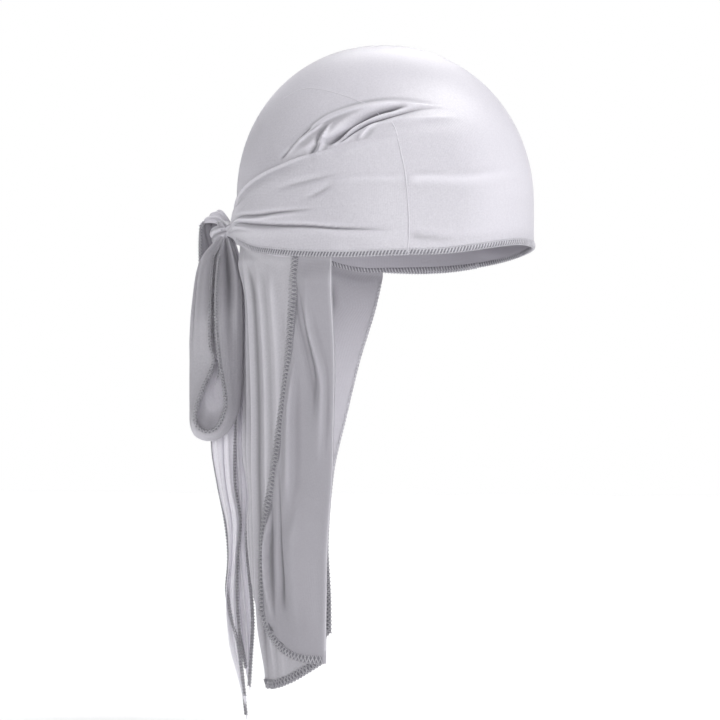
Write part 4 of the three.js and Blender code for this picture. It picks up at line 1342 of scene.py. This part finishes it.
class DURAG_OT_ends(bpy.types.Operator):
    """Hangs the two strap ends from the knot"""

    bl_idname = "durag.ends"
    bl_label = "Strap ends"

    def execute(self, context):
        size = sizes()
        # The ends' satin is a lighter copy: painted light
        dyes = ("satin_tail", "satin_tail_back")
        for word, table, side, drop in (
            ("right", RIGHT_END, -1, END_DROP),
            ("left", LEFT_END, 1, END_DROP * SHORT_END_SHARE),
        ):
            name = f"{word}_end"
            end = cloth(f"{name}_cloth", 48, 240, end_place(table, side, drop), size["wall"], dyes)
            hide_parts(name)
            surface = partial(end_surface, table, side, drop)
            stitch = size["overlock_pitch"], END_BRAID
            sewn = []
            for word, at, start in END_SEWING:
                edge = f"{name}_{word}_edge"
                eased = {"at": (0, start, start + 0.2, 1), "share": (0.2, 0.2, 1, 1)}
                sewn += lattice(edge, surface, (0.1, 0.99), at, 0.9 * at, stitch, size, eased)
        return {"FINISHED"}


class DURAG_OT_flap(bpy.types.Operator):
    """Hangs the nape flap, turns its near edge back and sews its edges"""

    bl_idname = "durag.flap"
    bl_label = "Nape flap"

    def execute(self, context):
        size = sizes()
        # The flap's satin and its back are darker copies: painted shade
        dyes = ("satin_flap", "satin_lining")
        flap = cloth("nape_flap_cloth", 230, 180, flap_surface, size["wall"], dyes)
        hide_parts("nape_flap")

        def upright(level, u):
            return flap_surface(u, level)

        sewn = []
        for word, surface, span, edge, inside, broad, eased in (
            ("near", upright, (0.01, 1), 0.0, 0.02, 1.0, None),
            ("far", upright, (0.03, 1), 1.0, 0.99, 0.9, FAR_SEWING),
            ("turned_bottom", flap_surface, (0, TURNED_SHARE), 1.0, 0.99, 1.0, None),
            ("bottom", flap_surface, (FOLD_END, 1), 1.0, 0.99, 1.0, None),
        ):
            stitch = size["braid_pitch"], size["braid_width"] * broad
            name = f"flap_{word}_edge"
            sewn += lattice(name, surface, span, edge, inside, stitch, size, eased)
        levels = np.linspace(0.02, 0.97, 260)
        line, behind = (
            flap_surface(np.full(len(levels), TURNED_SHARE + FOLD_SHARE * share), levels)
            for share in (0.3, 0.8)
        )
        out = unit(line - behind)
        crease = (line + out * 0.2)[None]
        bead = threads("flap_fold_crease", crease, out[None], *CREASE_BEAD, "satin_crease", 6)
        return {"FINISHED"}


def aim(obj, name, target):
    """Names a lamp or camera and turns it to a place."""
    obj.name = name
    obj.rotation_euler = (Vector(target) - obj.location).to_track_quat("-Z", "Y").to_euler()
    return obj


def lamp(kind, name, place, target, strength):
    deselect()
    bpy.ops.object.light_add(type=kind, location=place)
    made = aim(bpy.context.object, name, target)
    made.data.energy = strength
    return made


def studio():
    """World that lights faintly and is white where the camera sees it."""
    world = bpy.data.worlds.new("studio")
    world.use_nodes = True
    tree = world.node_tree
    glow = tree.nodes["Background"]
    glow.inputs["Color"].default_value = (0.97, 0.98, 1.0, 1.0)
    glow.inputs["Strength"].default_value = 0.15
    white = {"Color": (1.0, 1.0, 1.0, 1.0), "Strength": 1.0}
    paper = tone(tree, "ShaderNodeBackground", None, white)
    seen = tone(tree, "ShaderNodeLightPath", output="Is Camera Ray")
    inputs = {0: seen, 1: Tone(tree, glow.outputs[0]), 2: paper}
    both = add_node(tree, "ShaderNodeMixShader", None, inputs)
    tree.links.new(both.outputs[0], tree.nodes["World Output"].inputs["Surface"])
    return world


class DURAG_OT_stage(bpy.types.Operator):
    """Sets the floor, the lights, the world and the camera"""

    bl_idname = "durag.stage"
    bl_label = "Stage"

    def execute(self, context):
        deselect()
        drop = context.scene.durag_sizes.floor_drop
        bpy.ops.mesh.primitive_plane_add(size=FLOOR_BREADTH, location=(0, 0, -drop))
        floor = bpy.context.object
        floor.name = "floor"
        plain, _, shader = new_dye("floor")
        shader.inputs["Base Color"].default_value = rgba(context.scene.durag_colours.floor)
        shader.inputs["Roughness"].default_value = 0.85
        floor.data.materials.append(plain)
        floor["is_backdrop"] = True

        for name, place, breadth, strength in SUNS:
            sun = lamp("SUN", name, place, LIGHT_AIM, strength)
            sun.data.angle = math.radians(breadth)
        for name, place, target, sides, strength in PANELS:
            panel = lamp("AREA", name, place, target, strength)
            panel.data.shape = "RECTANGLE"
            panel.data.size, panel.data.size_y = sides
            panel.visible_camera = False
        context.scene.world = studio()
        context.scene.view_settings.view_transform = "Standard"

        c, s = math.cos(CAMERA_TURN), math.sin(CAMERA_TURN)
        level = math.cos(CAMERA_RISE)
        target = Vector((CAMERA_BACK * c, CAMERA_BACK * s, CAMERA_LEVEL))
        away = Vector((s * level, -c * level, math.sin(CAMERA_RISE)))
        deselect()
        bpy.ops.object.camera_add(location=target + CAMERA_AWAY * away)
        camera = aim(bpy.context.object, "camera", target)
        camera.data.lens = CAMERA_LENS
        camera.data.sensor_width = CAMERA_SENSOR
        context.scene.camera = camera
        return {"FINISHED"}


PIECES = (
    DURAG_OT_crown,
    DURAG_OT_straps,
    DURAG_OT_knot,
    DURAG_OT_loops,
    DURAG_OT_ends,
    DURAG_OT_flap,
    DURAG_OT_stage,
)


class DURAG_PT_panel(bpy.types.Panel):
    """Lists the pieces in the order they are made"""

    bl_idname = "DURAG_PT_panel"
    bl_label = "Durag"
    bl_space_type = "VIEW_3D"
    bl_region_type = "UI"
    bl_category = "Durag"

    def draw(self, context):
        for piece in PIECES:
            self.layout.operator(piece.bl_idname)
        for group in (context.scene.durag_sizes, context.scene.durag_colours):
            for key in group.bl_rna.properties.keys():
                if key not in ("rna_type", "name"):
                    self.layout.prop(group, key)


CLASSES = (DuragSizes, DuragColours, *PIECES, DURAG_PT_panel)


def register():
    for cls in CLASSES:
        bpy.utils.register_class(cls)
    bpy.types.Scene.durag_sizes = PointerProperty(type=DuragSizes)
    bpy.types.Scene.durag_colours = PointerProperty(type=DuragColours)


def unregister():
    del bpy.types.Scene.durag_colours
    del bpy.types.Scene.durag_sizes
    for cls in reversed(CLASSES):
        bpy.utils.unregister_class(cls)


def main():
    register()
    bpy.ops.durag.crown()
    bpy.ops.durag.straps()
    bpy.ops.durag.knot()
    bpy.ops.durag.loops()
    bpy.ops.durag.ends()
    bpy.ops.durag.flap()
    bpy.ops.durag.stage()
    plain = lambda box: [[float(value) for value in corner] for corner in box]
    {"cad": plain(CAD_BOX), "visual": plain(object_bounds())}


if __name__ == "__main__":
    main()
